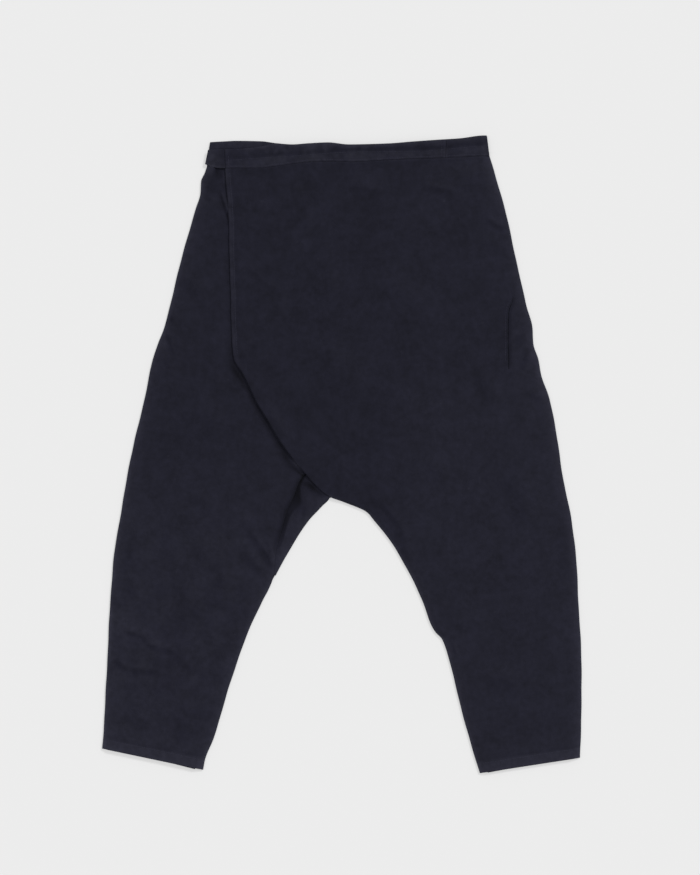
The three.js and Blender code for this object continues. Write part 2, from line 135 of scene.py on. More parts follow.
def read(rows, column, at):
    """A column's value where the first column is `at`: a cubic between rows with harmonic mean slopes."""
    keys, values = rows[rows.dtype.names[0]], rows[column]
    chords = np.diff(values) / np.diff(keys)
    before, after = chords[:-1], chords[1:]
    same_way = before * after > 0
    total = np.where(same_way, before + after, 1.0)
    inner = np.where(same_way, 2.0 * before * after / total, 0.0)
    slopes = np.concatenate([chords[:1], inner, chords[-1:]])
    at = np.clip(at, keys[0], keys[-1])
    i = np.clip(np.searchsorted(keys, at, side="right") - 1, 0, len(keys) - 2)
    span = keys[i + 1] - keys[i]
    t = (at - keys[i]) / span
    start, rise = values[i], values[i + 1] - values[i]
    first, last = slopes[i] * span - rise, slopes[i + 1] * span - rise
    return start + t * rise + t * (1.0 - t) * ((1.0 - t) * first - t * last)


def joined(*tables):
    """One table from several with the same columns."""
    return np.sort(np.concatenate(tables), order=tables[0].dtype.names[0])


print("ease over a stretch of 4:", [round(float(ease(distance, 4)), 2) for distance in range(5)])

# %% [markdown]
# ## The pattern's edges
# Each edge gives x at a height y. A front also has a level: the height of its underside along that edge.
# It is low where the front is sewn to a back, and higher where its edge covers another piece.

# %% Edge tables
SEWN = SECOND  # a front's underside where it is sewn to a back
COVER = SECOND_TOP + 2 * GAP  # and where its edge covers one more layer
LOFT = 3.5  # underside of a front that lies free
CROTCH_Y, CROTCH_X = -62.3, -16.4
THIGH_FOLD_X = -54.4  # where the thigh's fold comes out from under the flap


def edge_rows(level, rows):
    """Rows (y, x) of an edge, all at one level."""
    return table("y x level", [(y, x, level) for y, x in rows])


RIGHT_SIDE = edge_rows(SEWN, [
    (418, -195.9), (408, -198.9), (398, -203.8), (379, -205.3), (357, -212.1), (264, -238), (183, -258),
    (160, -267), (137, -275), (79, -286.5), (21, -301), (-37, -312.5), (-95, -322.5), (-153, -331.5),
    (-211, -336), (-385, -345), (-427, -348),
])
LEFT_SIDE = edge_rows(SEWN, [
    (433, 214), (406.5, 222.3), (345.6, 239), (264, 256.8), (218, 267.2), (183, 276.7), (160, 278),
    (137, 285), (113.6, 289.6), (79, 301.9), (21, 312.6), (-37, 321.5), (-95, 333), (-153, 340.3),
    (-211, 343), (-269, 346.6), (-339, 348), (-440.4, 345.7),
])
RIGHT_INSEAM = edge_rows(SEWN, [
    (CROTCH_Y, CROTCH_X), (-81, -34.4), (-95, -47.4), (-153, -83.7), (-211, -114.3), (-269, -140.5),
    (-327, -160.4), (-414, -187), (-443, -198.4), (-457.7, -201.4),
])
LEFT_INSEAM = edge_rows(SEWN, [
    (CROTCH_Y, CROTCH_X), (-69, 1.6), (-84, 35.7), (-95, 45.4), (-118, 64.7), (-141.6, 80.5), (-211, 116),
    (-246, 129), (-257.6, 135.4), (-269, 145.4), (-315.6, 160), (-385, 177), (-449, 195.8), (-462.8, 200.2),
])
WRAP_EDGE = joined(
    edge_rows(LOFT, [
        (415, -169.2), (340, -164.3), (253, -162), (148, -158.3), (138, -157), (130, -152.8), (116, -143.3),
        (104, -137.3), (75, -123), (47, -106.5), (20, -90.6), (-2, -74.8), (-27.3, -53.4), (-43.6, -39.3),
    ]),
    edge_rows(COVER, [(CROTCH_Y, CROTCH_X)]),
)
POCKET_LINE = table("y x gape", [
    (433, 190, 0.4), (264, 239, 0.4), (227, 248, 0.4), (208.6, 242.4, 0.5), (184.6, 240.9, 0.6),
    (148, 240.9, 0.6), (123.8, 241.5, 0.4), (79, 250, 0.4), (-211, 290, 0.4), (-462.8, 300, 0.4),
])
MOUTH_TOP, MOUTH_FOOT = 227.0, 123.8  # the pocket's slit; its line runs on as plain cloth
THIGH_FOLD = joined(
    edge_rows(LOFT, [(428, 110), (-12, -30)]),
    edge_rows(COVER, [
        (-29.7, THIGH_FOLD_X), (-40, -62), (-60, -69.5), (-84, -80.5), (-110, -87.5), (-140.6, -95.5),
        (-178, -100),
    ]),
    edge_rows(SEWN, [(-196, -106.4)]),
)
CENTRE_BACK = edge_rows(SEWN, [(424, 8), (CROTCH_Y, CROTCH_X)])

LEFT_FRONT_FROM = joined(LEFT_INSEAM[:-1], WRAP_EDGE)
LEFT_FRONT_TO = LEFT_SIDE
RIGHT_FRONT_TO = joined(RIGHT_INSEAM[RIGHT_INSEAM["y"] < -196], THIGH_FOLD)
RIGHT_BACK_TO = joined(RIGHT_INSEAM, CENTRE_BACK[CENTRE_BACK["y"] > 0])
LEFT_BACK_FROM = joined(LEFT_INSEAM, CENTRE_BACK[CENTRE_BACK["y"] > 0])
RIGHT_LEG, LEFT_LEG = (RIGHT_SIDE, RIGHT_INSEAM), (LEFT_SIDE, LEFT_INSEAM)

WAIST = table("x seam front back", [
    (-198, 420.5, 441.5, 453), (-186, 416.2, 441.7, 453.5), (-171, 414.3, 442, 454.2),
    (-153, 414.7, 442.4, 455), (-117, 414.8, 446, 454.4), (-96, 417.5, 450.6, 451.7),
    (-72, 420.8, 448.9, 449.9), (-49, 423.4, 450.4, 451.5), (-20, 424.4, 451.7, 452.8),
    (10, 423.9, 448.8, 449.9), (66, 426.5, 450.2, 451.3), (101, 428, 452.9, 454),
    (136, 429.2, 455.4, 456.5), (171, 431, 457.6, 458.7), (206, 432.6, 461.6, 462.8),
    (214, 433, 461.6, 462.8),
])
print("edges:", len(LEFT_FRONT_FROM), "rows round the flap,", len(WAIST), "places along the waist")


# %% Edges as they are cut
def edge_x(edge, y):
    """x of an edge at a height: its table's curve, and the unevenness of a hand-cut edge, under 0.4 mm."""
    return read(edge, "x", y) + 0.2 * np.sin(y / 17.0) + 0.15 * np.sin(y / 7.3 + 1.0)


def seam_y(x):
    """y of the seam below the waistband."""
    return read(WAIST, "seam", x)


def hem_line(leg, x):
    """y of the straight hem between the lowest rows of a leg's two edges."""
    side, inseam = (edge[0] for edge in leg)
    slope = (inseam["y"] - side["y"]) / (inseam["x"] - side["x"])
    return side["y"] + slope * (x - side["x"])


hem_length = math.dist(*(edge[0].tolist()[:2] for edge in RIGHT_LEG))
print("hem of the right leg:", round(hem_length, 1), "mm")

# %% [markdown]
# ## Creases, hollows and the slow waves of cloth
# Nothing sewn lies truly flat. Creases are listed one by one, each a line with its own bow, width and depth.
# Its section is a trough with a softer ridge on one side, as when cloth is pushed up against itself.
# Between creases the sheet still swells by a fraction of a millimetre, which a smooth random surface gives.

# %% Creases and waves
CREASE = "x1 y1 x2 y2 bow half depth shoulder"  # the columns of a crease table


def crease_height(rows, x, y):
    """
    Sum of troughs -depth exp(-(s/half)^2) across a bowed line, each with a shoulder on one side, fading
    to its ends, and deeper here than there.
    """
    height, uneven = np.zeros_like(x), 1.0 + 0.4 * waves(x, y, 11.0, 71)
    for row in rows:
        dx, dy = row["x2"] - row["x1"], row["y2"] - row["y1"]
        length = math.hypot(dx, dy)
        t = ((x - row["x1"]) * dx + (y - row["y1"]) * dy) / length**2
        s = ((x - row["x1"]) * -dy + (y - row["y1"]) * dx) / length - row["bow"] * 4.0 * t * (1.0 - t)
        fade = ease(t, 0.3) * ease(1.0 - t, 0.3)
        trough = bell(s, row["half"])
        ridge = row["shoulder"] * bell(s - 1.7 * row["half"], 1.2 * row["half"])
        height += fade * row["depth"] * uneven * (ridge - trough)
    return height


def waves(x, y, size, seed):
    """A smooth random surface from -1 to 1: random values on a lattice of `size` mm, eased between."""
    lattice = np.random.default_rng(seed).uniform(-1.0, 1.0, (64, 64))
    u, v = x / size + 32.0, y / size + 32.0
    i, j = np.floor(u).astype(int), np.floor(v).astype(int)
    s, t = ease(u - i, 1.0), ease(v - j, 1.0)
    low = lattice[i % 64, j % 64] * (1 - s) + lattice[(i + 1) % 64, j % 64] * s
    high = lattice[i % 64, (j + 1) % 64] * (1 - s) + lattice[(i + 1) % 64, (j + 1) % 64] * s
    return low * (1 - t) + high * t


def rumple(x, y, seed):
    """Slow waves of about 70 and 28 mm, each a fraction of a millimetre high."""
    return 0.42 * waves(x, y, 70.0, seed) + 0.22 * waves(x + 0.3 * y, y, 28.0, seed + 1)


probed = rumple(*np.meshgrid(np.linspace(-300, 300, 90), np.linspace(-400, 400, 90)), 11)
print("slow waves run from", round(probed.min(), 2), "to", round(probed.max(), 2), "mm")

# %% Crease tables
RIGHT_FRONT_CREASES = records(CREASE, [
    (-140, -113, -98, -170, 2, 4.6, 1.7, 0.35),  # below the gusset
    (-149, -142, -114, -184, 2, 6.5, 1.1, 0.4),
    (-111, -124, -103, -150, 0, 3, 0.6, 0.4),
    (-152, -92, -130, -122, 3, 6, 0.5, 0.6),
    (-258, 180, -246.5, 140, 1.6, 2.8, 1.4, 0.15),  # beside the pocket
    (-256, 137, -252.5, 122, 0, 3, 0.6, 0.3),
    (-320, -258, -282, -270, 1, 3.8, 1.3, 0.4),  # calf
    (-290, -266, -276, -283, -1, 3.8, 0.6, 0.4),
    (-288, -278, -235, -293, 1.5, 4.4, 1.45, 0.5),
    (-250, -286, -212, -324, -2, 6, 0.8, 0.4),
    (-333, -294, -306, -317, -3, 3.8, 1.1, 0.5),
    (-312, -312, -262, -318, -1, 4.6, 1.2, 0.5),
    (-306, -318, -284, -327, 0, 5, 0.6, 0.4),
    (-202, 377, -189, 360, 2, 3.2, 0.8, 0.6),  # side opening
    (-181, 386, -164.5, 336, 1, 2.2, 1.9, 0.8),
    (-235, 60, -190, 20, 6, 16, 0.5, 0.6),
    (-310, -120, -300, -235, -4, 12, 0.5, 0.6),
    (-180, -150, -200, -250, 5, 14, 0.5, 0.6),
    (-250, 255, -205, 225, 4, 9, 0.5, 0.6),
    (-188, 112, -183, 92, 0, 4, 0.6, 0.6),
    (-162, 40, -150, 5, -2, 7, 0.4, 0.6),
    (-225, -60, -190, -95, 4, 9, 0.4, 0.6),
])
RIGHT_FRONT_HOLLOWS = records(CREASE, [(-194, 430, -185, 366, 0, 20, 1.6, 0.0)])
LEFT_FRONT_CREASES = records(CREASE, [
    (27, -40, 49, -78, 0, 5, 0.6, 0.3),  # inner thigh
    (42, -67, 90, -142, 9, 6, 1.5, 0.3),
    (86, -128, 100, -160, -1, 5, 0.5, 0.4),
    (17, 417, 2, 388, 3, 3.2, 0.8, 0.7),  # below the band
    (6, 382, 68, 374, -2, 7, 0.9, 0.5),
    (-12, 392, 60, 366, -5, 16, 0.5, 0.5),
    (112, 384, 168, 374, 0, 6, 1.1, 0.6),
    (168, 380, 180, 372, 0, 4, -0.7, 0.2),
    (206, 341, 238, 324, -2, 4, 1.1, 0.7),  # left hip
    (196, 300, 232, 296, 2, 7, 0.5, 0.6),
    (-149, 279, -88, 227, -4, 5, 0.6, 0.6),  # across the flap
    (-144, 159, -124, 152, 1, 4, 0.6, 0.5),
    (-128, 96, -66, 8, 3, 11, -0.5, 0.5),
    (-60, 150, 20, 60, 8, 18, 0.5, 0.6),
    (40, 250, 110, 205, -6, 16, 0.5, 0.6),
    (137, -262, 168, -273, 2, 4, 0.4, 0.3),  # calf tuck
    (155, -268, 165, -297, 1, 2.4, 0.6, 0.8),
    (150, -240, 205, -256, -3, 9, 0.3, 0.6),
    (230, -20, 262, -120, 6, 16, 0.5, 0.6),
    (318, -90, 322, -190, 3, 11, 0.5, 0.6),
    (200, -330, 262, -345, 4, 10, 0.6, 0.6),
    (268, 138, 259, 126, 0, 4, 0.9, 0.6),  # behind the pocket
    (272, 157, 270, 140, 0, 3, 0.6, 0.5),
    (262, 178, 256, 162, 1, 4, 0.5, 0.5),
    (262, 92, 292, 70, 2, 5, 0.7, 0.6),
    (-20, 330, -8, 210, 4, 9, -0.4, 0.5),
    (110, -10, 150, -50, 3, 9, 0.5, 0.6),
    (190, 120, 215, 60, 3, 9, 0.5, 0.6),
])
GUSSET_CREASES = records(CREASE, [
    (-56, -34, -74, -112, 2, 3.5, 0.5, 0.6),
    (-48, -40, -58, -108, -2, 3.0, 0.4, 0.6),
    (-40, -52, -40, -84, 1, 3.0, 0.4, 0.5),
])
BACK_CREASES = records(CREASE, [
    (-60, 40, -150, -40, 8, 12, 0.9, 0.4),
    (40, 40, 150, -50, -8, 12, 0.9, 0.4),
    (-20, 100, -110, 60, 6, 12, 0.6, 0.4),
    (30, 130, 130, 80, -5, 12, 0.6, 0.4),
    (-250, -230, -190, -262, 4, 8, 0.7, 0.4),
    (190, -225, 250, -262, -4, 8, 0.7, 0.4),
    (-200, 330, -120, 300, 5, 14, 0.6, 0.4),
    (120, 350, 200, 318, -5, 14, 0.6, 0.4),
])
on_fronts = len(RIGHT_FRONT_CREASES) + len(LEFT_FRONT_CREASES)
print("creases:", on_fronts, "on the fronts,", len(BACK_CREASES), "on the backs")

# %% [markdown]
# ## How high each sheet lies
# The height of a front could come from a cloth simulation, but this garment has been laid and smoothed by
# hand, and its form follows from its layers. So a height is a sum: low at a sewn edge, up to the loft of
# free cloth, higher again where another layer lies below, and then the creases and the waves. Rows of
# stitches pull the cloth down into a shallow groove with small puckers along it.

# %% What every front does at its edges, hems and rows of stitches
ROUND = 12.0  # how far in from an edge a front reaches its loft
CUFF_HEM = 16.0
CUFF_ROOM = 0.9  # how much the turnings inside a cuff lift a front
EDGE_HEM = 12.0  # the hem along the flap's upright edge
EDGE_ROOM = 0.8  # how much its turning lifts the flap
STITCH_INSET = 1.6  # between a cuff's inner edge and its row of stitches
TO_BAND = 0.8  # how much the turnings inside the band lift a front's top
FLAP_ROW = 6.3  # from the flap's upright edge to its row of stitches


def groove(distance, along, depth=0.3):
    """A stitched groove: a narrow trough, with puckers about 9 mm apart that fade over 5 mm."""
    pucker = 0.5 + 0.5 * np.sin(along * 0.70 + 1.3 * np.sin(along * 0.083))
    return -depth * bell(distance, 1.3) - 0.22 * pucker * bell(distance, 4.5)


def before(edge, x, y):
    """How far a point is short of an edge on its +X side."""
    return edge_x(edge, y) - x


def loft_between(edge_from, edge_to, x, y):
    """Underside between two edges, and how far inside them the point is, from 0 to 1."""
    past_from = ease(-before(edge_from, x, y), ROUND)
    before_to = ease(before(edge_to, x, y), ROUND)
    drop_from = (LOFT - read(edge_from, "level", y)) * (1 - past_from)
    drop_to = (LOFT - read(edge_to, "level", y)) * (1 - before_to)
    return LOFT - drop_from - drop_to, np.minimum(past_from, before_to)


def cuff(leg, x, y):
    """Room for the turnings inside a cuff, and the groove of its stitches."""
    above = y - hem_line(leg, x)
    room = CUFF_ROOM * (1 - ease(above - CUFF_HEM - 2, 2 * CUFF_HEM))
    return room + groove(above - CUFF_HEM + STITCH_INSET, x)


print("a stitched groove is up to", round(-groove(0.0, np.arange(90.0)).min(), 2), "mm deep")

# %% Heights of the two fronts
KNOT_Y = -13.0  # where the flap's fold crosses the thigh's
WRAP_LIFT = 1.45  # extra height of the flap where the right front lies below it
WRAP_EASE = 42.0  # over which the flap comes down past that front's hidden edge
FOLD_ROLL = 1.1  # extra height of the flap's soft fold
DEEPEST = 1.7  # how far creases and waves may sink the right front


def at_knot(y):
    """1 where the two folds cross, and 0 away from there."""
    return bell(y - KNOT_Y, 9)


def right_front_top(x, y):
    """Top of the right front: loft, cuff, creases, a valley beside the flap's fold, and the thigh's fold."""
    height, inside = loft_between(RIGHT_SIDE, RIGHT_FRONT_TO, x, y)
    from_fold = before(RIGHT_FRONT_TO, x, y)
    beside_flap = ease(150 - y, 40) * ease(y + 40, 30) * (1 - 0.8 * at_knot(y))
    valley = 0.9 * beside_flap * bell(before(WRAP_EDGE, x, y) - 3, 6)
    thigh_fold = 0.7 * ease(-24 - y, 14) * ease(y + 142, 50) * bell(from_fold, 9)
    beside_gusset = 0.6 * ease(-120 - y, 30) * ease(y + 210, 30) * bell(from_fold, 7)
    below_tab = 2.6 * ease(y - 400, 14) * ease(-182.5 - x, 4) * ease(-before(RIGHT_SIDE, x, y), 6)
    shape = cuff(RIGHT_LEG, x, y) + rumple(x, y, 11)
    shape += crease_height(RIGHT_FRONT_CREASES, x, y) + crease_height(RIGHT_FRONT_HOLLOWS, x, y)
    raised = thigh_fold + below_tab + inside * np.maximum(shape, -DEEPEST)
    return height + CLOTH - valley - beside_gusset + raised


def left_front_top(x, y):
    """
    Top of the left front: loft, cuff and creases, lifted over the right front, with the hem and the roll
    of its free edge, the two lips of the pocket, and a broad swell over the belly.
    """
    height, inside = loft_between(LEFT_FRONT_FROM, LEFT_FRONT_TO, x, y)
    past_free = -before(LEFT_FRONT_FROM, x, y)
    lift = WRAP_LIFT * (1 - ease(-before(RIGHT_FRONT_TO, x, y) - 3.6, WRAP_EASE)) * ease(y + 48, 24)
    hem = EDGE_ROOM * (1 - ease(past_free - EDGE_HEM - 2, EDGE_HEM)) + groove(past_free - FLAP_ROW, y)
    hem *= ease(y - 130, 16)
    roll = FOLD_ROLL * ease(146 - y, 30) * ease(y + 38, 18) * (1 - ease(past_free, ROUND))
    roll *= 1 - 0.9 * at_knot(y)
    from_slit = before(POCKET_LINE, x, y)
    mouth = 0.45 * bell(from_slit - 3.2, 2.6) - 0.6 * bell(from_slit + 1.2, 2.4)
    mouth *= ease(y - MOUTH_FOOT + 6, 14) * ease(MOUTH_TOP + 8 - y, 14)
    to_band = TO_BAND * ease(y - seam_y(x) + 14, 14)
    belly = 1.7 * bell(x - 24, 120) * ease(y + 40, 150) * ease(420 - y, 120)
    shape = cuff(LEFT_LEG, x, y) + crease_height(LEFT_FRONT_CREASES, x, y) + rumple(x, y, 23)
    shape *= 0.35 + 0.65 * ease(past_free, 2 * ROUND)
    top = height + CLOTH + lift + hem + roll + mouth + inside * (belly + shape + to_band)
    covers_right = (before(RIGHT_FRONT_TO, x, y) > -2) & (y > -32)
    return np.where(covers_right, np.maximum(top, right_front_top(x, y) + FABRIC + 0.15), top)


probed = left_front_top(*np.meshgrid(np.linspace(-150, 200, 50), np.linspace(-20, 400, 60)))
print("left front lies", np.round(np.percentile(probed, (0, 50, 100)), 2), "mm high")

# %% [markdown]
# ## Sheets with curled edges
# A folded or sewn edge of cloth is round, so a front's edge is carried on past the flat sheet along a
# circle that turns down and under, with a radius that just fills the height between the sheet and what it
# lies on. The sheet is one grid: rows down the garment, columns across, and the curl's own columns and
# rows at its sides and hem. Solidify then gives the grid its wall. A thin edge gets only a short curl,
# because a wall can't turn round a circle smaller than itself.

# %% Rows of a panel
LEG_TILT_FROM = -269.0  # below here the rows tilt until they lie along the hem
ROW_STEPS = ((398, 340, 2.4), (340, 146, 3.6), (146, 100, 1.6), (100, -20, 3.2),
             (-20, -92, 1.6), (-92, -250, 3.6), (-250, LEG_TILT_FROM, 2.0))


def panel_rows(edge_from, edge_to):
    """y of each row at both edges, and how much it follows the waist seam: 1 at the top, soon 0."""
    level = np.concatenate([np.arange(start, stop, -step) for start, stop, step in ROW_STEPS])
    share = np.linspace(0, 1, 9)[:-1]
    tilt = np.linspace(0, 1, 52)
    ends = []
    for edge in (edge_from, edge_to):
        top = seam_y(edge["x"][-1])
        foot = LEG_TILT_FROM + (edge["y"][0] - LEG_TILT_FROM) * tilt
        ends.append(np.concatenate([top + (401.5 - top) * share, level, foot]))
    follow = np.concatenate([1 - ease(share, 1.0), np.zeros(len(level) + len(tilt))])
    return ends[0], ends[1], follow


def even_rows(top, foot, step):
    """Rows of a small piece: level, from one height down to another."""
    rows = np.linspace(top, foot, int((top - foot) / step) + 2)
    return rows, rows, np.zeros_like(rows)


print("rows of a front:", len(panel_rows(RIGHT_SIDE, RIGHT_FRONT_TO)[0]))

# %% Curls, and how the columns are spread
CURL_STEPS = 6
THIN = 0.25  # radius of an edge that isn't folded
CUFF_CURL = 1.15  # and of the fold of a cuff's hem
SEAM_OPEN = 0.05  # between the top of a sheet and the foot of the band


def curl_angles(radius):
    """How far round each step of a curl is: up to 60 degrees on a thin edge, 168 where a wall fits in."""
    end = np.radians(60 + 108 * np.clip((radius - THIN) / 0.75, 0, 1))
    return end[:, None] * np.linspace(0, 1, CURL_STEPS + 1)[None, 1:]


def outward(edge, y, way):
    """Unit direction out of the cloth along an edge: across it, towards -X or +X as way is -1 or 1."""
    within = np.clip(y, edge["y"][0] + 0.8, edge["y"][-1] - 0.8)
    slope = (edge_x(edge, within + 0.8) - edge_x(edge, within - 0.8)) / 1.6
    length = np.hypot(1.0, slope)
    return way / length, -way * slope / length


def spread(count):
    """Shares from 0 to 1, closer together near both ends."""
    share = np.linspace(0, 1, count)
    return 0.6 * share + 0.4 * (0.5 - 0.5 * np.cos(np.pi * share))


def shares_beside_slit(middle_y, start_x, end_x, inner, outer):
    """Shares of a sheet's width: so many columns up to one lip of the slit, and so many from the other."""
    line, half_gape = edge_x(POCKET_LINE, middle_y), read(POCKET_LINE, "gape", middle_y) / 2
    first, second = (((line + way * half_gape - start_x) / (end_x - start_x))[:, None] for way in (-1, 1))
    return np.hstack([first * spread(inner), 1 - (1 - second) * (1 - spread(outer))])


print("a cuff's curl ends", round(math.degrees(curl_angles(np.array([CUFF_CURL]))[0, -1])), "degrees round")

# %% A sheet's points
def sheet_points(rows, edges, columns, face, radii, turn=-1, hem_radius=THIN):
    """
    Arrays x, y, z, u, v of a sheet. Its columns run between two edges, each set in by its curl's radius r.
    At an angle a, a curl's point lies r sin a further out and r (1 - cos a) further down, or up where turn
    is 1, while its cloth coordinate has gone r a. The hem's curl does the same below the last row.
    """
    ends = []
    for edge, y_edge, way, radius in zip(edges, rows[:2], (-1, 1), radii):
        r = radius(y_edge) if callable(radius) else np.full(len(y_edge), float(radius))
        out_x, out_y = outward(edge, y_edge, way)
        ends.append((edge_x(edge, y_edge) - r * out_x, y_edge - r * out_y, r, out_x, out_y))
    if isinstance(columns, tuple):
        share = shares_beside_slit((rows[0] + rows[1]) / 2, ends[0][0], ends[1][0], *columns)
    else:
        share = np.tile(spread(columns), (len(rows[0]), 1))
    x = ends[0][0][:, None] * (1 - share) + ends[1][0][:, None] * share
    y = ends[0][1][:, None] * (1 - share) + ends[1][1][:, None] * share
    y = y + rows[2][:, None] * (seam_y(x) - SEAM_OPEN - (y[:1, :1] * (1 - share) + y[:1, -1:] * share))
    hem_x, hem_y = rows[1][-1] - rows[0][-1], x[-1, 0] - x[-1, -1]
    hem_x, hem_y = np.array([hem_x, hem_y]) / math.hypot(hem_x, hem_y)
    from_side = np.minimum(share[-1], 1 - share[-1]) * abs(x[-1, -1] - x[-1, 0])
    r_hem = THIN + (hem_radius - THIN) * ease(from_side, 8)
    near_hem = ease(14 - np.hypot(x - x[-1:], y - y[-1:]), 14) * r_hem
    x, y = x - hem_x * near_hem, y - hem_y * near_hem
    z = face(x, y)
    sides = []
    for column, (_, _, r, out_x, out_y) in zip((0, -1), ends):
        angles = curl_angles(r)
        sweep, roll = r[:, None] * np.sin(angles), r[:, None] * angles
        base_x, base_y, base_z = (array[:, column][:, None] for array in (x, y, z))
        out_x, out_y = out_x[:, None], out_y[:, None]
        sides.append([
            base_x + out_x * sweep, base_y + out_y * sweep, base_z + turn * r[:, None] * (1 - np.cos(angles)),
            base_x + out_x * roll, base_y + out_y * roll,
        ])
    with_sides = zip(sides[0], (x, y, z, x, y), sides[1])
    x, y, z, u, v = (np.hstack([first[:, ::-1], flat, last]) for first, flat, last in with_sides)
    r_hem = np.concatenate([np.full(CURL_STEPS, THIN), r_hem, np.full(CURL_STEPS, THIN)])
    flat = np.concatenate([np.zeros(CURL_STEPS), np.ones(share.shape[1]), np.zeros(CURL_STEPS)])[None, :]
    angles = curl_angles(r_hem).T
    sweep, roll = r_hem * np.sin(angles), r_hem * angles
    return (
        np.vstack([x, x[-1:] + hem_x * sweep]), np.vstack([y, y[-1:] + hem_y * sweep]),
        np.vstack([z, z[-1:] + flat * turn * r_hem * (1 - np.cos(angles))]),
        np.vstack([u, u[-1:] + hem_x * roll]), np.vstack([v, v[-1:] + hem_y * roll]),
    )


# %% [markdown]
# ## From a grid to a piece of cloth
# numpy's arrays go into the mesh in one call each. The sheet also carries its cloth coordinates, in
# metres along the warp and the weft, so that the weave keeps its size and turns with the cut. A number
# goes with every vertex for wear and painted shading: above 0 the cloth is paler, where it has been
# rubbed and where painted light lifts an edge or a contact out of its shadow; below 0 painted shade
# darkens it in folds, gaps and creases.

# %% Meshes
FLOOR_AIR = 0.02  # no face of a sheet is lower than this
pieces = {}


def mesh_object(name, vertices, faces, uv, wear):
    """A mesh object from arrays of vertices in pattern millimetres, quads, cloth coordinates and wear, with
    painted light and shade.
    """
    mesh = bpy.data.meshes.new(name)
    mesh.vertices.add(len(vertices))
    mesh.vertices.foreach_set("co", (vertices * MM).astype(np.float32).ravel())
    mesh.loops.add(faces.size)
    mesh.loops.foreach_set("vertex_index", faces.astype(np.int32).ravel())
    mesh.polygons.add(len(faces))
    mesh.polygons.foreach_set("loop_start", np.arange(0, faces.size, 4, dtype=np.int32))
    mesh.update(calc_edges=True)
    mesh.polygons.foreach_set("use_smooth", np.ones(len(faces), dtype=bool))
    cloth = mesh.uv_layers.new(name="cloth")
    cloth.data.foreach_set("uv", (uv[faces.ravel()] * MM).astype(np.float32).ravel())
    mesh.attributes.new("wear", "FLOAT", "POINT").data.foreach_set("value", wear.astype(np.float32))
    made = bpy.data.objects.new(name, mesh)
    bpy.context.scene.collection.objects.link(made)
    pieces[name] = made
    return made


def grid_faces(rows, columns):
    """Quads of a grid of rows x columns vertices that face up when rows run towards -Y."""
    corner = np.arange(rows * columns).reshape(rows, columns)
    around = (corner[:-1, :-1], corner[1:, :-1], corner[1:, 1:], corner[:-1, 1:])
    return np.stack([part.ravel() for part in around], axis=1)


def cloth_piece(name, points, warp_degrees=0.0, wear=0.0, face_up=True, cut_out=None):
    """A sheet from its points, its warp turned by an angle, with its wall grown inwards by Solidify."""
    x, y, z, u, v = points
    c, s = math.cos(math.radians(warp_degrees)), math.sin(math.radians(warp_degrees))
    z = np.maximum(z, FLOOR_AIR)
    faces = grid_faces(*x.shape)
    if cut_out is not None:
        faces = faces[~cut_out.ravel()]
    made = mesh_object(
        name, np.stack([x.ravel(), y.ravel(), z.ravel()], axis=1), faces if face_up else faces[:, ::-1],
        np.stack([(u * c + v * s).ravel(), (v * c - u * s).ravel()], axis=1),
        np.broadcast_to(wear, x.shape).ravel(),
    )
    solidify = made.modifiers.new("wall", "SOLIDIFY")
    solidify.thickness = FABRIC * MM
    solidify.offset = -1.0
    print(f"{name}: {x.shape[0]} rows x {x.shape[1]} columns, z {z.min():.2f} to {z.max():.2f} mm")


# %% Wear, painted light and painted shade along edges, hems and creases
def spots(x, y, rows):
    """Sum of soft ovals, from rows of (x, y, half width, half height, value in the middle): wear and painted
    light above 0, painted shade below 0.
    """
    wear = np.zeros_like(x)
    for at_x, at_y, half_x, half_y, strength in rows:
        wear += strength * bell(x - at_x, half_x) * bell(y - at_y, half_y)
    return wear


def hollow(distance, middle, near, far):
    """A bell round a middle distance, with one half width nearer than it and another past it."""
    return bell(distance - middle, np.where(distance < middle, near, far))


def panel_wear_and_shading(x, y, leg, crease_rows):
    """
    Share of pale, or below 0 of painted shade: palest on the outermost few millimetres beside a seam and
    on the depth of the hem, with painted light along an edge that faces away from the key light, painted
    shade just above the top of the cuff's turning, and painted shade in the creases' troughs with painted
    light on their ridges.
    """
    side, inseam = leg
    beside_seam = np.abs(edge_x(side, y) - x)
    beside_inseam = np.abs(edge_x(inseam, y) - x) + 100 * ease(y - CROTCH_Y, 20)
    near = np.minimum(beside_seam, beside_inseam)
    facing_left = beside_seam if side is RIGHT_SIDE else beside_inseam
    above = y - hem_line(leg, x)
    rubbed_and_painted_light = 0.15 * bell(near, 4) + 0.06 * bell(near, 1.6)
    rubbed_and_painted_light += 0.07 * np.exp(-near / 9) + 0.04 * np.exp(-beside_seam / 35)
    # painted light: paler along the edge that faces away from the key light
    worn_and_painted_shading = 0.05 * bell(near, 11) + 0.07 * bell(facing_left, 7)
    rubbed_and_painted_light += worn_and_painted_shading * (1 + 0.5 * waves(x, y, 21.0, 51))
    hem = 0.14 * (1 - ease(above - CUFF_HEM + 1, 3)) + 0.10 * bell(above, 4)
    # painted shade just above the top of the cuff's turning
    hem += 0.05 * (1 - ease(above, 60)) - 0.05 * bell(above - CUFF_HEM - 1.5, 3)
    # painted shade in the creases' troughs and painted light on their ridges
    return rubbed_and_painted_light + hem + 0.09 * crease_height(crease_rows, x, y)


# %% [markdown]
# ## The backs
# Both backs lie on the floor, outside down, so their faces point down and their walls grow upwards. A
# crease in a back lifts away from the floor. Each is set in from the outline by the curl of its front,
# which comes round it, and its own hem curls up.

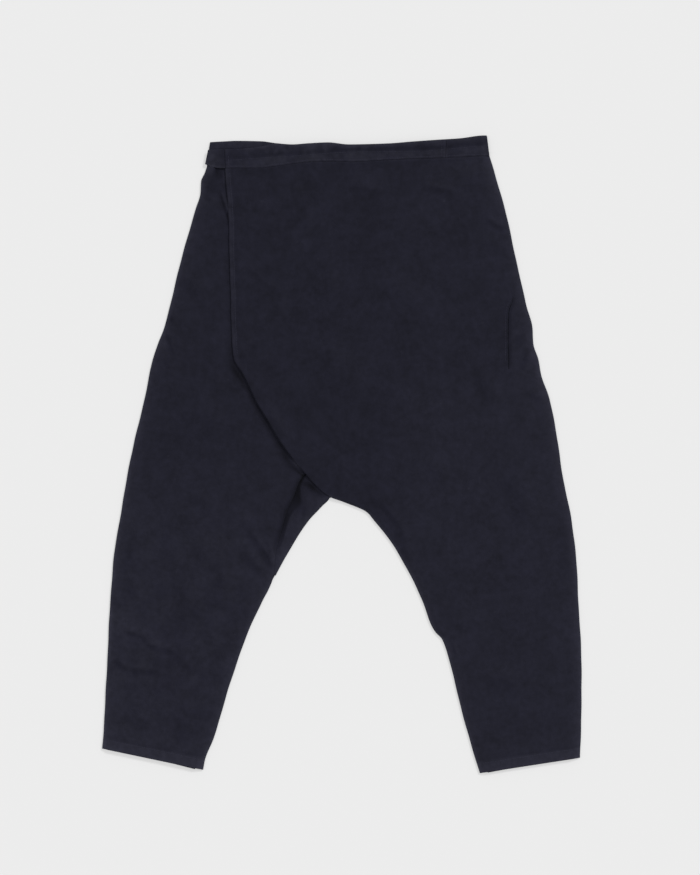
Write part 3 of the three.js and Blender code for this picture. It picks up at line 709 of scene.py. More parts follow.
# %% Right and left back
CURL_FLOOR = 0.05  # foot of a curl that reaches the floor, and the backs' own height above it
SIDE_CURL = (SECOND_TOP - CURL_FLOOR) / 2  # radius of a front's curl round a sewn edge
BACK_INSET = SIDE_CURL * 0.8 + 0.15  # how far the backs are set in from the outline
HALF_SEAM = 0.15  # from the centre back seam to each back
RIGHT_WARP, LEFT_WARP = -7.0, 6.0  # degrees, because each leg's cloth is turned a little


def shifted(edge, distance):
    """An edge moved along X."""
    moved = edge.copy()
    moved["x"] += distance
    return moved


def back_inner_edge(edge, way):
    """Inner edge of a back: at its own side of the centre back seam, and set in along the inseam."""
    return shifted(edge, way * (HALF_SEAM + BACK_INSET * (edge["y"] <= CROTCH_Y)))


def back_face(x, y):
    """Underside of a back: on the floor, lifted a little by its creases."""
    return CURL_FLOOR + np.maximum(-crease_height(BACK_CREASES, x, y), 0) + 0.1 * (1 + waves(x, y, 28, 3))


RIGHT_BACK_EDGES = (shifted(RIGHT_SIDE, BACK_INSET), back_inner_edge(RIGHT_BACK_TO, -1))
LEFT_BACK_EDGES = (back_inner_edge(LEFT_BACK_FROM, 1), shifted(LEFT_SIDE, -BACK_INSET))
for name, edges, leg, warp in (
    ("back_right_cloth", RIGHT_BACK_EDGES, RIGHT_LEG, RIGHT_WARP),
    ("back_left_cloth", LEFT_BACK_EDGES, LEFT_LEG, LEFT_WARP),
):
    points = sheet_points(
        panel_rows(*edges), edges, 58, back_face, (THIN, THIN), turn=1, hem_radius=CUFF_CURL,
    )
    back_wear_and_shading = panel_wear_and_shading(*points[:2], leg, BACK_CREASES)
    cloth_piece(name, points, warp, back_wear_and_shading, face_up=False)

# %% [markdown]
# ## What lies on the backs
# The gusset lets the legs part at the low crotch, and only a strip of it shows beside the right thigh's
# fold. It is sewn to the back along the inseam, where its edge curls down, and runs on out of sight below
# the fronts. The pocket's facing is a flat strip that only shows as the dark inside of the pocket's slit.

# %% Gusset
def gusset_face(x, y):
    """Top of the gusset: flat on the back, creased from its upper end, a little lower beside the fold."""
    beside_fold = bell(before(RIGHT_FRONT_TO, x, y) + 3, 4)
    creased = np.clip(crease_height(GUSSET_CREASES, x, y), -0.35, 0.6)
    return SECOND_TOP + 0.1 + ease(before(RIGHT_INSEAM, x, y), 6) * (creased - 0.2 * beside_fold)


GUSSET_HEAD, GUSSET_FOOT = -24.0, -176.0
GUSSET_WARP = 20.0  # degrees, because it is cut on a slant
HIDDEN = 12.0  # how far a piece runs on out of sight
gusset_y = np.linspace(GUSSET_HEAD, GUSSET_FOOT, 40)
under_fold = np.minimum(read(RIGHT_FRONT_TO, "x", gusset_y), THIGH_FOLD_X)
under_fold -= HIDDEN * ease(gusset_y - GUSSET_FOOT + 8, 50)
under_flap, at_inseam = read(WRAP_EDGE, "x", gusset_y) + 16, read(RIGHT_INSEAM, "x", gusset_y)
GUSSET_EDGES = (
    table("y x", zip(gusset_y, under_fold)),
    table("y x", zip(gusset_y, np.where(gusset_y > CROTCH_Y, under_flap, at_inseam))),
)
points = sheet_points(
    even_rows(GUSSET_HEAD, GUSSET_FOOT, 1.6), GUSSET_EDGES, 34, gusset_face,
    (THIN, lambda y: THIN + (SIDE_CURL - THIN) * ease(CROTCH_Y + 6 - y, 8)),
)
x, y = points[:2]
fold_gap = -before(RIGHT_FRONT_TO, x, y)
# Painted shade on the gusset beside the thigh's fold: along y, how far from the fold it reaches, how soft its
# end, and how dark.
fold_shade = table("y width fade depth", [
    (-24, 3, 3, 0.7), (-43, 4.5, 3, 0.7), (-55, 7.2, 3, 0.75), (-60, 9.3, 3.5, 0.72), (-66, 13, 5, 0.6),
    (-72, 15.5, 9, 0.5), (-78, 13, 8, 0.45), (-84, 8.7, 5, 0.48), (-95, 5.7, 4, 0.5), (-108, 6, 3, 0.5),
    (-117, 6.2, 3, 0.4), (-126, 5.7, 4, 0.25), (-140, 4, 4, 0.06), (-150, 3, 4, 0),
])
fade = read(fold_shade, "fade", y)
shade = read(fold_shade, "depth", y) * (1 - ease(fold_gap - read(fold_shade, "width", y) + fade / 2, fade))
gusset_wear_and_shading = 0.05 + 0.07 * ease(-64 - y, 24) + 0.15 * bell(before(RIGHT_INSEAM, x, y), 8)
gusset_wear_and_shading -= 1.2 * shade
# painted shadow of the flap's edge on the gusset
gusset_wear_and_shading -= 0.6 * hollow(before(WRAP_EDGE, x, y), 8, 5, 7) * ease(-38 - y, 8) * ease(y + 64, 10)
# spots: painted shade where the flap's tip meets the gusset, and a few pale and dark patches
gusset_wear_and_shading += spots(x, y, [
    (-43, -47, 4.5, 8, -0.25), (-52, -40, 9, 7, -0.3), (-88, -146, 10, 16, 0.08),
    (-36, -69, 9, 7, 0.1), (-57, -82, 8, 8, -0.12),
])
# painted shade in the gusset's creases and painted light on their ridges
gusset_wear_and_shading += 0.12 * crease_height(GUSSET_CREASES, x, y)
cloth_piece("gusset_cloth", points, GUSSET_WARP, gusset_wear_and_shading)

# %% Pocket facing
def facing_face(x, y):
    """Top of the pocket's facing: flat on the back."""
    return SECOND_TOP + 0.05 + 0.1 * waves(x, y, 28, 7)


FACING_EDGES = (shifted(POCKET_LINE, -HIDDEN), shifted(LEFT_SIDE, -ROUND - 2 * GAP))
points = sheet_points(even_rows(240, 111, 3.0), FACING_EDGES, 20, facing_face, (THIN, THIN))
# painted light: the facing is made pale so that the shade inside the pocket's slit is lighter
cloth_piece("pocket_facing_cloth", points, LEFT_WARP, wear=0.8)

# %% [markdown]
# ## The two fronts
# The right front is made first, because the flap lies on it. Where its edge is sewn, the curl reaches down
# to the floor; where the edge covers the gusset, the curl stops on the gusset. The flap's fold is a
# thicker roll that lies on the right front.

# %% Curls that reach what lies below
GUSSET_TOP = SECOND_TOP + 0.15  # foot of a curl that stops on the gusset


def curl_radius(face, edge, inset, floor):
    """Half the height between a sheet at its edge and what lies below, so that the curl just fills it."""
    def radius(y):
        return np.clip((face(edge_x(edge, y) + inset, y) - floor(y)) / 2, THIN, 2.0)
    return radius


def floor_at_side(y):
    """The foot of a curl that comes round a back."""
    return np.full_like(y, CURL_FLOOR)


def floor_right_to(y):
    """What the right front's inner edge lies on: the floor at the inseam, the gusset, then the back."""
    return CURL_FLOOR + GUSSET_TOP * ease(y + 190, 14) + 0.4 * ease(y + 26, 8)


side_radius = curl_radius(right_front_top, RIGHT_SIDE, 1.3, floor_at_side)(np.array([-200.0]))[0]
print("the right side's curl has a radius of", round(side_radius, 2), "mm")

# %% Right front
RIGHT_EDGES = (RIGHT_SIDE, RIGHT_FRONT_TO)
points = sheet_points(
    panel_rows(*RIGHT_EDGES), RIGHT_EDGES, 104, right_front_top,
    (curl_radius(right_front_top, RIGHT_SIDE, 1.3, floor_at_side),
     curl_radius(right_front_top, RIGHT_FRONT_TO, -1.2, floor_right_to)),
    hem_radius=CUFF_CURL,
)
x, y = points[:2]
beside_flap = before(WRAP_EDGE, x, y)
# Painted shadow of the flap's fold on the right front: along y, where it is darkest beside the fold, its half
# widths nearer and further, and how dark.
fold_shadow = table("y middle near far depth", [
    (-50, 2, 2.6, 5, 0.25), (-36, 5, 3, 4, 0.4), (-28, 7, 3, 3.2, 0.75), (-22, 8.5, 3.6, 4.5, 0.6),
    (-16, 9.5, 4, 6.5, 0.5), (-4, 7.6, 3.8, 5.2, 0.65), (5, 5.5, 4, 5, 0.5),
    (12, 4.6, 3.2, 5, 0.55), (47, 4.6, 3.2, 5, 0.55), (88, 3.6, 3, 4.6, 0.62), (100, 4.4, 3, 6, 0.5),
    (108, 6.5, 4.6, 6.5, 0.7), (118, 7.5, 5, 6.5, 0.8), (127, 6, 4.4, 6.5, 0.55), (134, 3, 3, 6.5, 0.28),
    (155, 2, 2.6, 4.6, 0.16), (180, 2, 2.6, 3.6, 0.10), (200, 2, 2.6, 2.4, 0.06), (415, 2, 2.6, 2.4, 0.02),
])
right_wear_and_shading = panel_wear_and_shading(x, y, RIGHT_LEG, RIGHT_FRONT_CREASES)
# paler towards the foot
right_wear_and_shading += 0.065 * ease(70 - y, 230) + 0.005
mottled = 0.032 * waves(x, y, 7.0, 61) + 0.048 * waves(x, y, 18.0, 62)
right_wear_and_shading += ease(-40 - y, 120) * mottled
shadow = hollow(beside_flap, *(read(fold_shadow, column, y) for column in ("middle", "near", "far")))
right_wear_and_shading -= read(fold_shadow, "depth", y) * shadow * ease(beside_flap + 8, 8)
# painted light beside the flap's edge where the two folds cross, against the shadow of their contact
right_wear_and_shading += 0.5 * bell(beside_flap, 3.4) * bell(y + 14, 7)
# painted shade along the right front's edge at the thigh's fold
at_thigh = ease(-22 - y, 8) * ease(y + 142, 30)
right_wear_and_shading -= 0.55 * at_thigh * bell(before(RIGHT_FRONT_TO, x, y), 3.9)
# spots: painted shade below the tab, in the side opening and beside the flap's upright edge; painted light
# where the tab's foot and the flap's upright edge shade the cloth; and a few pale and dark patches
right_wear_and_shading += spots(x, y, [
    (-177, 407, 7, 5.5, -0.35), (-182, 410, 2.2, 4, -0.45), (-190, 411, 5, 6, 0.18),  # below the tab
    (-178, 416.4, 6, 1.5, 0.45), (-171, 402, 1.8, 13, 0.4),
    (-171.5, 393, 4.5, 12, -0.2), (-184, 391, 8, 18, -0.06), (-190, 382, 7, 8.5, -0.12),
    (-188, 365, 10, 6, 0.06), (-165, 342, 1.8, 8, -0.5), (-94, -160, 10, 24, 0.08),
    (-312, -260, 26, 90, 0.03), (-258, 158, 6, 16, 0.06), (-247, 196, 2.6, 3.5, -0.4),
    (-315, -265, 6, 26, 0.06),
])
cloth_piece("front_right_cloth", points, RIGHT_WARP, right_wear_and_shading)

# %% Left front with its flap
def floor_left_from(y):
    """What the left front's free edge lies on: the right front, then the gusset, then the floor."""
    on_front, on_gusset = ease(y + 34, 8), ease(y + 66, 8)
    right = right_front_top(edge_x(LEFT_FRONT_FROM, y) + 2, y) + 0.1
    return CURL_FLOOR * (1 - on_gusset) + GUSSET_TOP * on_gusset * (1 - on_front) + right * on_front


LEFT_EDGES = (LEFT_FRONT_FROM, LEFT_FRONT_TO)
INNER_COLUMNS, OUTER_COLUMNS = 112, 16
points = sheet_points(
    panel_rows(*LEFT_EDGES), LEFT_EDGES, (INNER_COLUMNS, OUTER_COLUMNS), left_front_top,
    (curl_radius(left_front_top, LEFT_FRONT_FROM, 1.3, floor_left_from),
     curl_radius(left_front_top, LEFT_FRONT_TO, -1.3, floor_at_side)),
    hem_radius=CUFF_CURL,
)
x, y = points[:2]
past_free = -before(LEFT_FRONT_FROM, x, y)
left_wear_and_shading = panel_wear_and_shading(x, y, LEFT_LEG, LEFT_FRONT_CREASES)
# paler towards the left side, most of all below the hip
left_wear_and_shading += (0.05 - 0.035 * ease(y - 60, 80)) * ease(x - 40, 90)
# painted light on the curl of the flap's free edge, against the shadow it casts: along the upright edge, near
# the waist, where the folds cross and over the gusset
at_edge = 0.12 * ease(y - 140, 30) + 0.2 * ease(y - 388, 12) + 0.25 * at_knot(y)
at_edge += 0.15 * ease(-24 - y, 8) * ease(y + 62, 8)
left_wear_and_shading += at_edge * bell(past_free, 1.6)
# painted shade on the flap's own rolled edge along its soft fold
left_wear_and_shading -= 0.14 * hollow(past_free, 4, 4, 6) * ease(132 - y, 30) * ease(y - 2, 20)
left_wear_and_shading -= 0.12 * ease(y + 56, 12) * ease(152 - y, 36) * bell(past_free, 2.6)
# a paler strip along the flap's hemmed edge: rubbed wear, a painted highlight along its fold, paler along its
# row of stitches, and painted shade at the turning's inner edge
strip = 0.14 * hollow(past_free, 2.6, 1.2, 1.4) + 0.10 * hollow(past_free, 6.4, 1.4, 1.4)
strip += 0.03 * ease(past_free, 2) - 0.03 * ease(past_free - 7, 2) - 0.06 * hollow(past_free, 9.6, 1.6, 2.4)
left_wear_and_shading += ease(y - 122, 30) * strip * (0.8 + 0.6 * waves(x, y, 9.0, 41))
# painted shade just below the band's seam
left_wear_and_shading -= 0.03 * hollow(seam_y(x) - y, 2.5, 3, 4)
from_slit = before(POCKET_LINE, x, y)
# painted shade in and beside the pocket's slit, with a faint pale line on its lip
slit_painted_shading = 0.03 * bell(from_slit - 4, 1.5) - 0.2 * bell(from_slit, 3.2)
left_wear_and_shading += ease(y - MOUTH_FOOT, 12) * ease(MOUTH_TOP - y, 12) * slit_painted_shading
left_wear_and_shading += 0.04 * ease(-from_slit, 6) * ease(y - 60, 60) * ease(300 - y, 60)
at_hip = ease(y - 140, 40) * ease(370 - y, 30)
left_wear_and_shading -= 0.05 * at_hip * bell(before(LEFT_SIDE, x, y), 11)
column, middle_y = np.arange(x.shape[1] - 1)[None, :], (y[1:, :-1] + y[:-1, :-1]) / 2
slit = (column == CURL_STEPS + INNER_COLUMNS - 1) & (middle_y < MOUTH_TOP) & (middle_y > MOUTH_FOOT)
# spots: painted shade and painted highlights of the wrinkles behind the pocket, painted shade where the
# flap's tip meets the gusset, and a few pale patches
left_wear_and_shading += spots(x, y, [  # wrinkles behind the pocket
    (266, 141, 3, 7, -0.12), (261, 126, 4, 4, -0.12), (255, 163, 4, 6, -0.1), (255, 176, 4, 3, 0.08),
    (277, 144, 4, 3, 0.08), (263, 119, 4, 3, 0.08), (277, 62, 3, 15, 0.05), (287, 118, 4, 22, 0.05),
    (-61, 386, 5, 5, 0.08), (-45, 336, 5, 18, 0.04), (-82, 222, 6, 16, 0.04),
    (185, 418, 38, 13, 0.07), (220, 400, 12, 34, 0.07), (-40, -36, 5, 5, -0.2),
])
cloth_piece("front_left_cloth", points, LEFT_WARP, left_wear_and_shading, cut_out=slit)

# %% [markdown]
# ## Turnings
# A hem is cloth turned up twice and stitched. The turned part can't be seen from outside, but it shows
# when one looks into a cuff, so each turning is a plain sheet just inside the fold of its hem.

# %% Turnings of the cuffs and of the flap's edge
TURNING_TOP = 2.4
BELOW_FACE = FABRIC + 0.2  # from a front's face down to a turning inside it


def cuff_rows(first, second):
    """Rows between a leg's two edges, from the top of a turning down to its fold, tilted with the hem."""
    rise = np.linspace(CUFF_HEM, 1.2, 9)
    return first["y"][0] + rise, second["y"][0] + rise, 0 * rise


def turning_on_back(x, y):
    """Top of a turning that lies on a back."""
    return np.full_like(x, TURNING_TOP)


RIGHT_CUFF, LEFT_CUFF = RIGHT_LEG, LEFT_LEG[::-1]  # the edges of each from -X to +X
for name, edges, face in (
    ("hem_back_right_cloth", RIGHT_CUFF, turning_on_back),
    ("hem_back_left_cloth", LEFT_CUFF, turning_on_back),
    ("hem_front_right_cloth", RIGHT_CUFF, lambda x, y: right_front_top(x, y) - BELOW_FACE),
    ("hem_front_left_cloth", LEFT_CUFF, lambda x, y: left_front_top(x, y) - BELOW_FACE),
):
    inner = (shifted(edges[0], ROUND), shifted(edges[1], -ROUND))
    cloth_piece(name, sheet_points(cuff_rows(*edges), inner, 40, face, (THIN, THIN)))

flap_turning = (shifted(WRAP_EDGE, 1.4), shifted(WRAP_EDGE, EDGE_HEM))
points = sheet_points(
    even_rows(410, 150, 5), flap_turning, 8, lambda x, y: right_front_top(x, y) + FABRIC + 0.12, (THIN, THIN),
)
cloth_piece("flap_turning_cloth", points)

# %% [markdown]
# ## The waistband
# A momohiki band is a long strip folded double, so each stretch of it is a flattened tube: a face that
# shows, a round fold along the top, an inner face, and a round fold along the foot. The profile is carried
# along the waist seam, and its ends close where the strips are stitched off. The upper half of the face is
# puffed and puckered, the lower half lies flat, and a stitched line runs between them.

# %% The face of the band
JOIN_X = -169.2  # where the flap's band ends against its tab
SIDE_JOIN_X = 150.2  # where it ends against its side piece
MID_LINE = table("x y", [
    (-200, 428), (-169, 427.5), (-132, 430.3), (-72, 434), (13, 439.6), (113, 441.1), (199, 448.3),
    (214, 449),
])


def band_relief(x, y, foot, top):
    """Puffed above the mid line, nearly flat below it, with a shallow trough and puckers between."""
    middle = read(MID_LINE, "y", x)
    above, below = ease(y - middle, 5), ease(middle - y, 5)
    puff = 0.5 * above * np.sin(np.pi * np.clip((y - middle) / np.maximum(top - middle, 1), 0, 1))
    flat = 0.15 * below * np.sin(np.pi * np.clip((y - foot) / np.maximum(middle - foot, 1), 0, 1))
    puckers = 0.35 * waves(x, y * 0.35, 7.0, 31) * above + 0.15 * waves(x, y * 0.5, 8.0, 32)
    return puff + flat + puckers - 0.2 * bell(y - middle, 2.2) + groove(y - foot - 2.6, x, 0.12)


def band_wear_and_shading(x, y, foot, top):
    """Pale along the top fold and on the flat lower part, mottled above, with painted shade just above the
    mid line.
    """
    middle = read(MID_LINE, "y", x)
    lower = ease(middle - y, 5)
    mottle = 0.07 * waves(x, y, 6.0, 33) + 0.06 * waves(x, y, 17.0, 36)
    fold = 0.15 * bell(y - top, 3.5) * ease(x + 150, 40) + 0.03 * bell(y - foot - 2, 2)
    line = -0.09 * bell(y - middle - 2, 3.6)
    past_join = x - JOIN_X
    join = (0.15 * lower - 0.08) * hollow(past_join, 4.5, 2.2, 3)
    join -= 0.1 * hollow(past_join, 0, 1, 2) * ease(y - foot - 3, 5)
    join -= 0.12 * hollow(past_join, 13, 5, 8)
    patches = spots(x, y, [
        (-140, 434, 12, 9, -0.05), (-55, 430, 45, 7, 0.05), (-30, 445, 28, 7, 0.09), (211, 446, 6, 20, 0.12),
    ])
    patches += 0.1 * hollow(x, SIDE_JOIN_X, 2.5, 2.5)
    return 0.07 + 0.05 * lower + mottle + fold + line + join + patches


print("the band is", np.round(read(WAIST, "front", WAIST["x"]) - seam_y(WAIST["x"]), 1), "mm wide")

# %% The tab, and bands that another covers
def tab_relief(x, y, foot, top):
    """The tab: plain, and pressed down along its foot."""
    return plain_relief(x, y, foot, top) - 1.2 * (1 - ease(y - foot, 9)) * ease(-175 - x, 8)


def tab_wear_and_shading(x, y, foot, top):
    """Palest at the tab's free end, with painted light along its foot and darker beside the join."""
    at_foot = 0.16 * bell(y - foot - 0.6, 2.2)
    at_foot -= 0.12 * hollow(x, JOIN_X, 6, 3) * ease(y - foot - 4, 6)
    return 0.11 + 0.2 * ease(-178 - x, 18) + 0.08 * waves(x, y, 6.0, 43) + at_foot


def no_relief(x, y, foot, top):
    """A band that lies pressed under another."""
    return 0 * y


def plain_relief(x, y, foot, top):
    """A band with nothing but slow waves."""
    return 0.25 * waves(x, y * 0.5, 9.0, 35)


def plain_wear_and_shading(x, y, foot, top):
    """Pale along the top fold, with painted shade below the edge of the band that covers it."""
    return 0.14 * bell(y - top, 2.5) + 0.13 + 0.06 * waves(x, y, 6.0, 37) - 0.2 * ease(top - y - 9, 5)


# %% One stretch of band
FACE_STEPS = 24
FOLD_STEPS = 4
END_ROUND = 0.5  # how far from its end a stretch of band starts to close
RING = 2 * (FACE_STEPS + FOLD_STEPS)
# From the middle of the foot fold up the face, and what lies across from it on the inner face:
half_ring = (2 * FACE_STEPS + FOLD_STEPS + FOLD_STEPS // 2 + np.arange(RING // 2)) % RING
mirror_ring = (2 * FACE_STEPS + FOLD_STEPS - 1 - half_ring) % RING


def tube_faces(places):
    """Quads round a tube of so many places along +X, and a zip of quads across each end."""
    column, ring = np.meshgrid(np.arange(places - 1) * RING, np.arange(RING), indexing="ij")
    after = (ring + 1) % RING
    walls = (column + ring, column + RING + ring, column + RING + after, column + after)
    cap = np.stack([half_ring[:-1], half_ring[1:], mirror_ring[1:], mirror_ring[:-1]], axis=1)
    walls = np.stack([part.ravel() for part in walls], axis=1)
    return np.concatenate([walls, cap, cap[:, ::-1] + (places - 1) * RING])


def band_piece(name, start, end, top_edge, under, relief, wear):
    """
    A closed tube along the waist, from (foot x, top x) at its start to the same at its end. Its profile
    goes up the face, round the top fold at y = top - h + h sin a, down the inner face and round the foot
    fold, where h is half the band's thickness. Near an end its depth shrinks as a circle does, to close.
    """
    half = BAND / 2
    end_steps = END_ROUND * (1 - np.cos(np.linspace(0.15, np.pi / 2, 5)))
    between = np.arange(start[0] + END_ROUND + 1, end[0] - END_ROUND - 0.5, 1.7)
    feet = np.concatenate([start[0] + end_steps, between, end[0] - end_steps[::-1]])
    t, a = np.linspace(0, 1, FACE_STEPS), np.linspace(0, np.pi, FOLD_STEPS + 2)[1:-1]
    rise = np.concatenate([t, np.ones_like(a), t[::-1], np.zeros_like(a)])
    bulge = np.concatenate([0 * t, np.sin(a), 0 * t, -np.sin(a)])
    depth = np.concatenate([0 * t + 1, np.cos(a), 0 * t - 1, -np.cos(a)])
    foot, top = seam_y(feet)[:, None], read(WAIST, top_edge, feet)[:, None]
    y = foot + half + rise * (top - foot - 2 * half) + half * bulge
    from_end = np.minimum(feet - start[0], end[0] - feet)[:, None]
    slant = (start[1] - start[0]) * (1 - ease(feet - start[0], 15))
    slant += (end[1] - end[0]) * (1 - ease(end[0] - feet, 15))
    x = feet[:, None] + slant[:, None] * (y - foot) / (top - foot)
    closing = np.sqrt(1 - (1 - np.clip(from_end / END_ROUND, 0, 1)) ** 2)
    raised = np.clip(depth, 0, 1) * ease(from_end, 3) * relief(x, y, foot, top)
    z = under(x) + half * (1 + depth * closing) + raised
    points = np.stack([x.ravel(), y.ravel(), z.ravel()], axis=1)
    coordinates = np.stack([y.ravel(), x.ravel()], axis=1)
    mesh_object(name, points, tube_faces(len(feet)), coordinates, wear(x, y, foot, top).ravel())
    print(f"{name}: {len(feet)} places along the waist, z {z.min():.2f} to {z.max():.2f} mm")


# %% The five stretches
TAB_X = -198.6  # the foot of the tab's free end


def on_floor(x):
    """Underside of the back band."""
    return np.full_like(x, FLOOR_AIR)


def on_back_band(x):
    """Underside of a band that lies on the back band."""
    return np.full_like(x, BAND + GAP)


def front_band_under(x):
    """Underside of the front band: that of the left front at their seam, clear of the band below."""
    below = (BAND + GAP) * (2 - ease(x - 108, 10))
    return np.maximum(left_front_top(x, seam_y(x) - GAP) - CLOTH - TO_BAND, below)


def tab_under(x):
    """The tab climbs from the back band to the front band in 11 mm."""
    low, high = BAND + GAP, float(front_band_under(np.array([-168.0]))[0])
    return low + (high - low) * ease(x - TAB_X, 11)


for name, start, end, top_edge, *surface in (
    ("back", (-196.6, -191.4), (213.4, 210), "back", on_floor, plain_relief, plain_wear_and_shading),
    ("right", (-186, -184), (110, 112), "front", on_back_band, no_relief, plain_wear_and_shading),
    ("tab", (TAB_X, -194.2), (JOIN_X - 0.1, -170.3), "front", tab_under, tab_relief, tab_wear_and_shading),
    ("front", (JOIN_X + 0.1, -170.1), (SIDE_JOIN_X - 0.08, 151.1), "front",
     front_band_under, band_relief, band_wear_and_shading),
    ("side", (SIDE_JOIN_X + 0.08, 151.3), (214, 210.4), "front", front_band_under, band_relief, band_wear_and_shading),
):
    band_piece(f"waistband_{name}_cloth", start, end, top_edge, *surface)

# %% [markdown]
# ## Stitches
# A row of stitches could be painted on, but real thread stands up from the cloth and catches light. Each
# stitch is a small capsule of 56 triangles. A whole row is made at once: the capsule's points are arrays,
# carried to every place along a line that is read off the surface below.

# %% Stitches along any line
STITCH_PITCH = 3.6
STITCH_LIFT = 0.12  # from the cloth up to the middle of the thread
CAPSULE_ALONG = np.array([-1.0, -0.75, 0.0, 0.75, 1.0]) * 1.35
CAPSULE_RADIUS = np.array([0.3, 0.85, 1.0, 0.85, 0.3]) * 0.3
CAPSULE_SIDES = 6
THREAD_WEAR = 0.2


def capsule_faces():
    """Quads along a capsule with six sides, and two across each end."""
    ring, side = np.meshgrid(np.arange(len(CAPSULE_ALONG) - 1), np.arange(CAPSULE_SIDES), indexing="ij")
    after = (side + 1) % CAPSULE_SIDES
    first, second = ring * CAPSULE_SIDES, (ring + 1) * CAPSULE_SIDES
    corners = (first + side, first + after, second + after, second + side)
    walls = np.stack([part.ravel() for part in corners], axis=1)
    return np.concatenate([walls, [(3, 2, 1, 0), (5, 4, 3, 0), (24, 25, 26, 27), (24, 27, 28, 29)]])


def stitch_places(line, height):
    """Middles and directions of stitches along a line of (x, y) rows, one every STITCH_PITCH."""
    line = np.asarray(line, float)
    gone = np.concatenate([[0], np.cumsum(np.hypot(*np.diff(line, axis=0).T))])
    at = np.arange(STITCH_PITCH / 2, gone[-1] - 1, STITCH_PITCH)
    middle, next_to_it = (
        np.stack([x, y, height(x, y) + STITCH_LIFT], axis=1)
        for x, y in ((np.interp(a, gone, line[:, 0]), np.interp(a, gone, line[:, 1])) for a in (at, at + 1))
    )
    ahead = next_to_it - middle
    return middle, ahead / np.linalg.norm(ahead, axis=1, keepdims=True)


def stitches(name, height, *lines):
    """One mesh of all stitches along some lines: middle + t along + r (cos b across + sin b up)."""
    places = [stitch_places(line, height) for line in lines]
    middle, ahead = (np.concatenate(part)[:, None, None, :] for part in zip(*places))
    across = np.cross(ahead, [0.0, 0.0, 1.0])
    across = across / np.linalg.norm(across, axis=-1, keepdims=True)
    up = np.cross(across, ahead)
    b = np.linspace(0, 2 * np.pi, CAPSULE_SIDES, endpoint=False)[None, None, :, None]
    t, r = CAPSULE_ALONG[None, :, None, None], CAPSULE_RADIUS[None, :, None, None]
    points = middle + t * ahead + r * (np.cos(b) * across + np.sin(b) * up)
    count, each = len(middle), CAPSULE_SIDES * len(CAPSULE_ALONG)
    faces = (capsule_faces()[None] + np.arange(count)[:, None, None] * each).reshape(-1, 4)
    coordinates = np.broadcast_to(np.concatenate([t + 0 * b, b + 0 * t], axis=-1), (*points.shape[:3], 2))
    print(f"{name}: {count} stitches")
    wear = np.full(count * each, THREAD_WEAR)
    mesh_object(name, points.reshape(-1, 3), faces, coordinates.reshape(-1, 2), wear)


print("triangles in a stitch:", 2 * len(capsule_faces()))

# %% Lines that the rows follow
def along_edge(edge, inset, top, foot):
    """Rows (x, y) beside an edge, between two heights."""
    y = np.linspace(top, foot, 60)
    return np.stack([edge_x(edge, y) + inset, y], axis=1)


def along_hem(leg):
    """Rows (x, y) of the stitches along a leg's hem, from a little inside one seam to the other."""
    x = np.linspace(leg[0]["x"][0], leg[1]["x"][0], 40)[1:-1]
    return np.stack([x, hem_line(leg, x) + CUFF_HEM - STITCH_INSET], axis=1)


def along_band(rise, start, end):
    """Rows (x, y) on the band, so far above its foot."""
    x = np.linspace(start, end, 80)
    return np.stack([x, seam_y(x) + rise], axis=1)


def along_mid_line(offset, start, end):
    """Rows (x, y) on the band, so far above its middle line."""
    x = np.linspace(start, end, 80)
    return np.stack([x, read(MID_LINE, "y", x) + offset], axis=1)


print("stitches on the right hem lie at y", np.round(along_hem(RIGHT_LEG)[[0, -1], 1], 1))

# %% The rows of stitches
def band_top(x, y):
    """Height of the front band's face."""
    foot, top = seam_y(x), read(WAIST, "front", x)
    from_end = np.minimum(np.abs(x - JOIN_X), np.abs(x - SIDE_JOIN_X))
    return front_band_under(x) + BAND + band_relief(x, y, foot, top) * ease(from_end, 3)


def back_outside(x, y):
    """Where a row of stitches lies on the outside of a back, seen from below."""
    return back_face(x, y) - 0.1


stitches("stitches_right_front", right_front_top, along_hem(RIGHT_LEG))
stitches(
    "stitches_left_front", left_front_top,
    along_hem(LEFT_LEG), along_edge(WRAP_EDGE, FLAP_ROW, 408, 146), along_edge(POCKET_LINE, -4.0, 224, 134),
)
stitches(
    "stitches_band", band_top,
    along_band(2.6, -166, 147), along_band(2.6, 154, 209),
    along_mid_line(-1.9, -166, 147), along_mid_line(-1.9, 154, 207),
    [(-164, 418), (-164.6, 433)], [(144, 432), (144.5, 453)],
)
stitches(
    "stitches_back", back_outside,
    along_hem(RIGHT_LEG), along_hem(LEFT_LEG),
    along_edge(CENTRE_BACK, 2.4, 420, -60), along_edge(CENTRE_BACK, -2.4, 420, -60),
)

# %% [markdown]
# ## The cloth's finish
# Navy brushed cotton looks almost black and quite matt. Its colour is never even: the weave shows as fine
# ribs, slubs run along the warp, the nap lies this way and that in patches, rubbed places are paler, and
# lint sticks to it. Painted shade darkens folds, gaps and creases, and painted light lifts some edges and
# contacts. These effects are shader node groups, because band and cloth share them with other values.
# The groups read the piece's cloth coordinates, so the ribs follow the cut of each panel.

# %% Building node trees
def link_or_set(tree, socket, value):
    """A socket is linked where the value is another socket, and is given the value otherwise."""
    if isinstance(value, bpy.types.NodeSocket):
        tree.links.new(value, socket)
    else:
        socket.default_value = value


def add_node(tree, kind, settings=None, **inputs):
    """A node with its settings and inputs. An input is named, or numbered as in _0."""
    node = tree.nodes.new(kind)
    for name, value in (settings or {}).items():
        setattr(node, name, value)
    for name, value in inputs.items():
        key = int(name[1:]) if name[0] == "_" else name.replace("_", " ")
        link_or_set(tree, node.inputs[key], value)
    return node


def math_node(tree, operation, a, b=0.0, c=0.0, clamp=False):
    """One sum on two numbers or sockets, or on three where it is a MULTIPLY_ADD: a b + c."""
    settings = {"operation": operation, "use_clamp": clamp}
    return add_node(tree, "ShaderNodeMath", settings, _0=a, _1=b, _2=c).outputs[0]


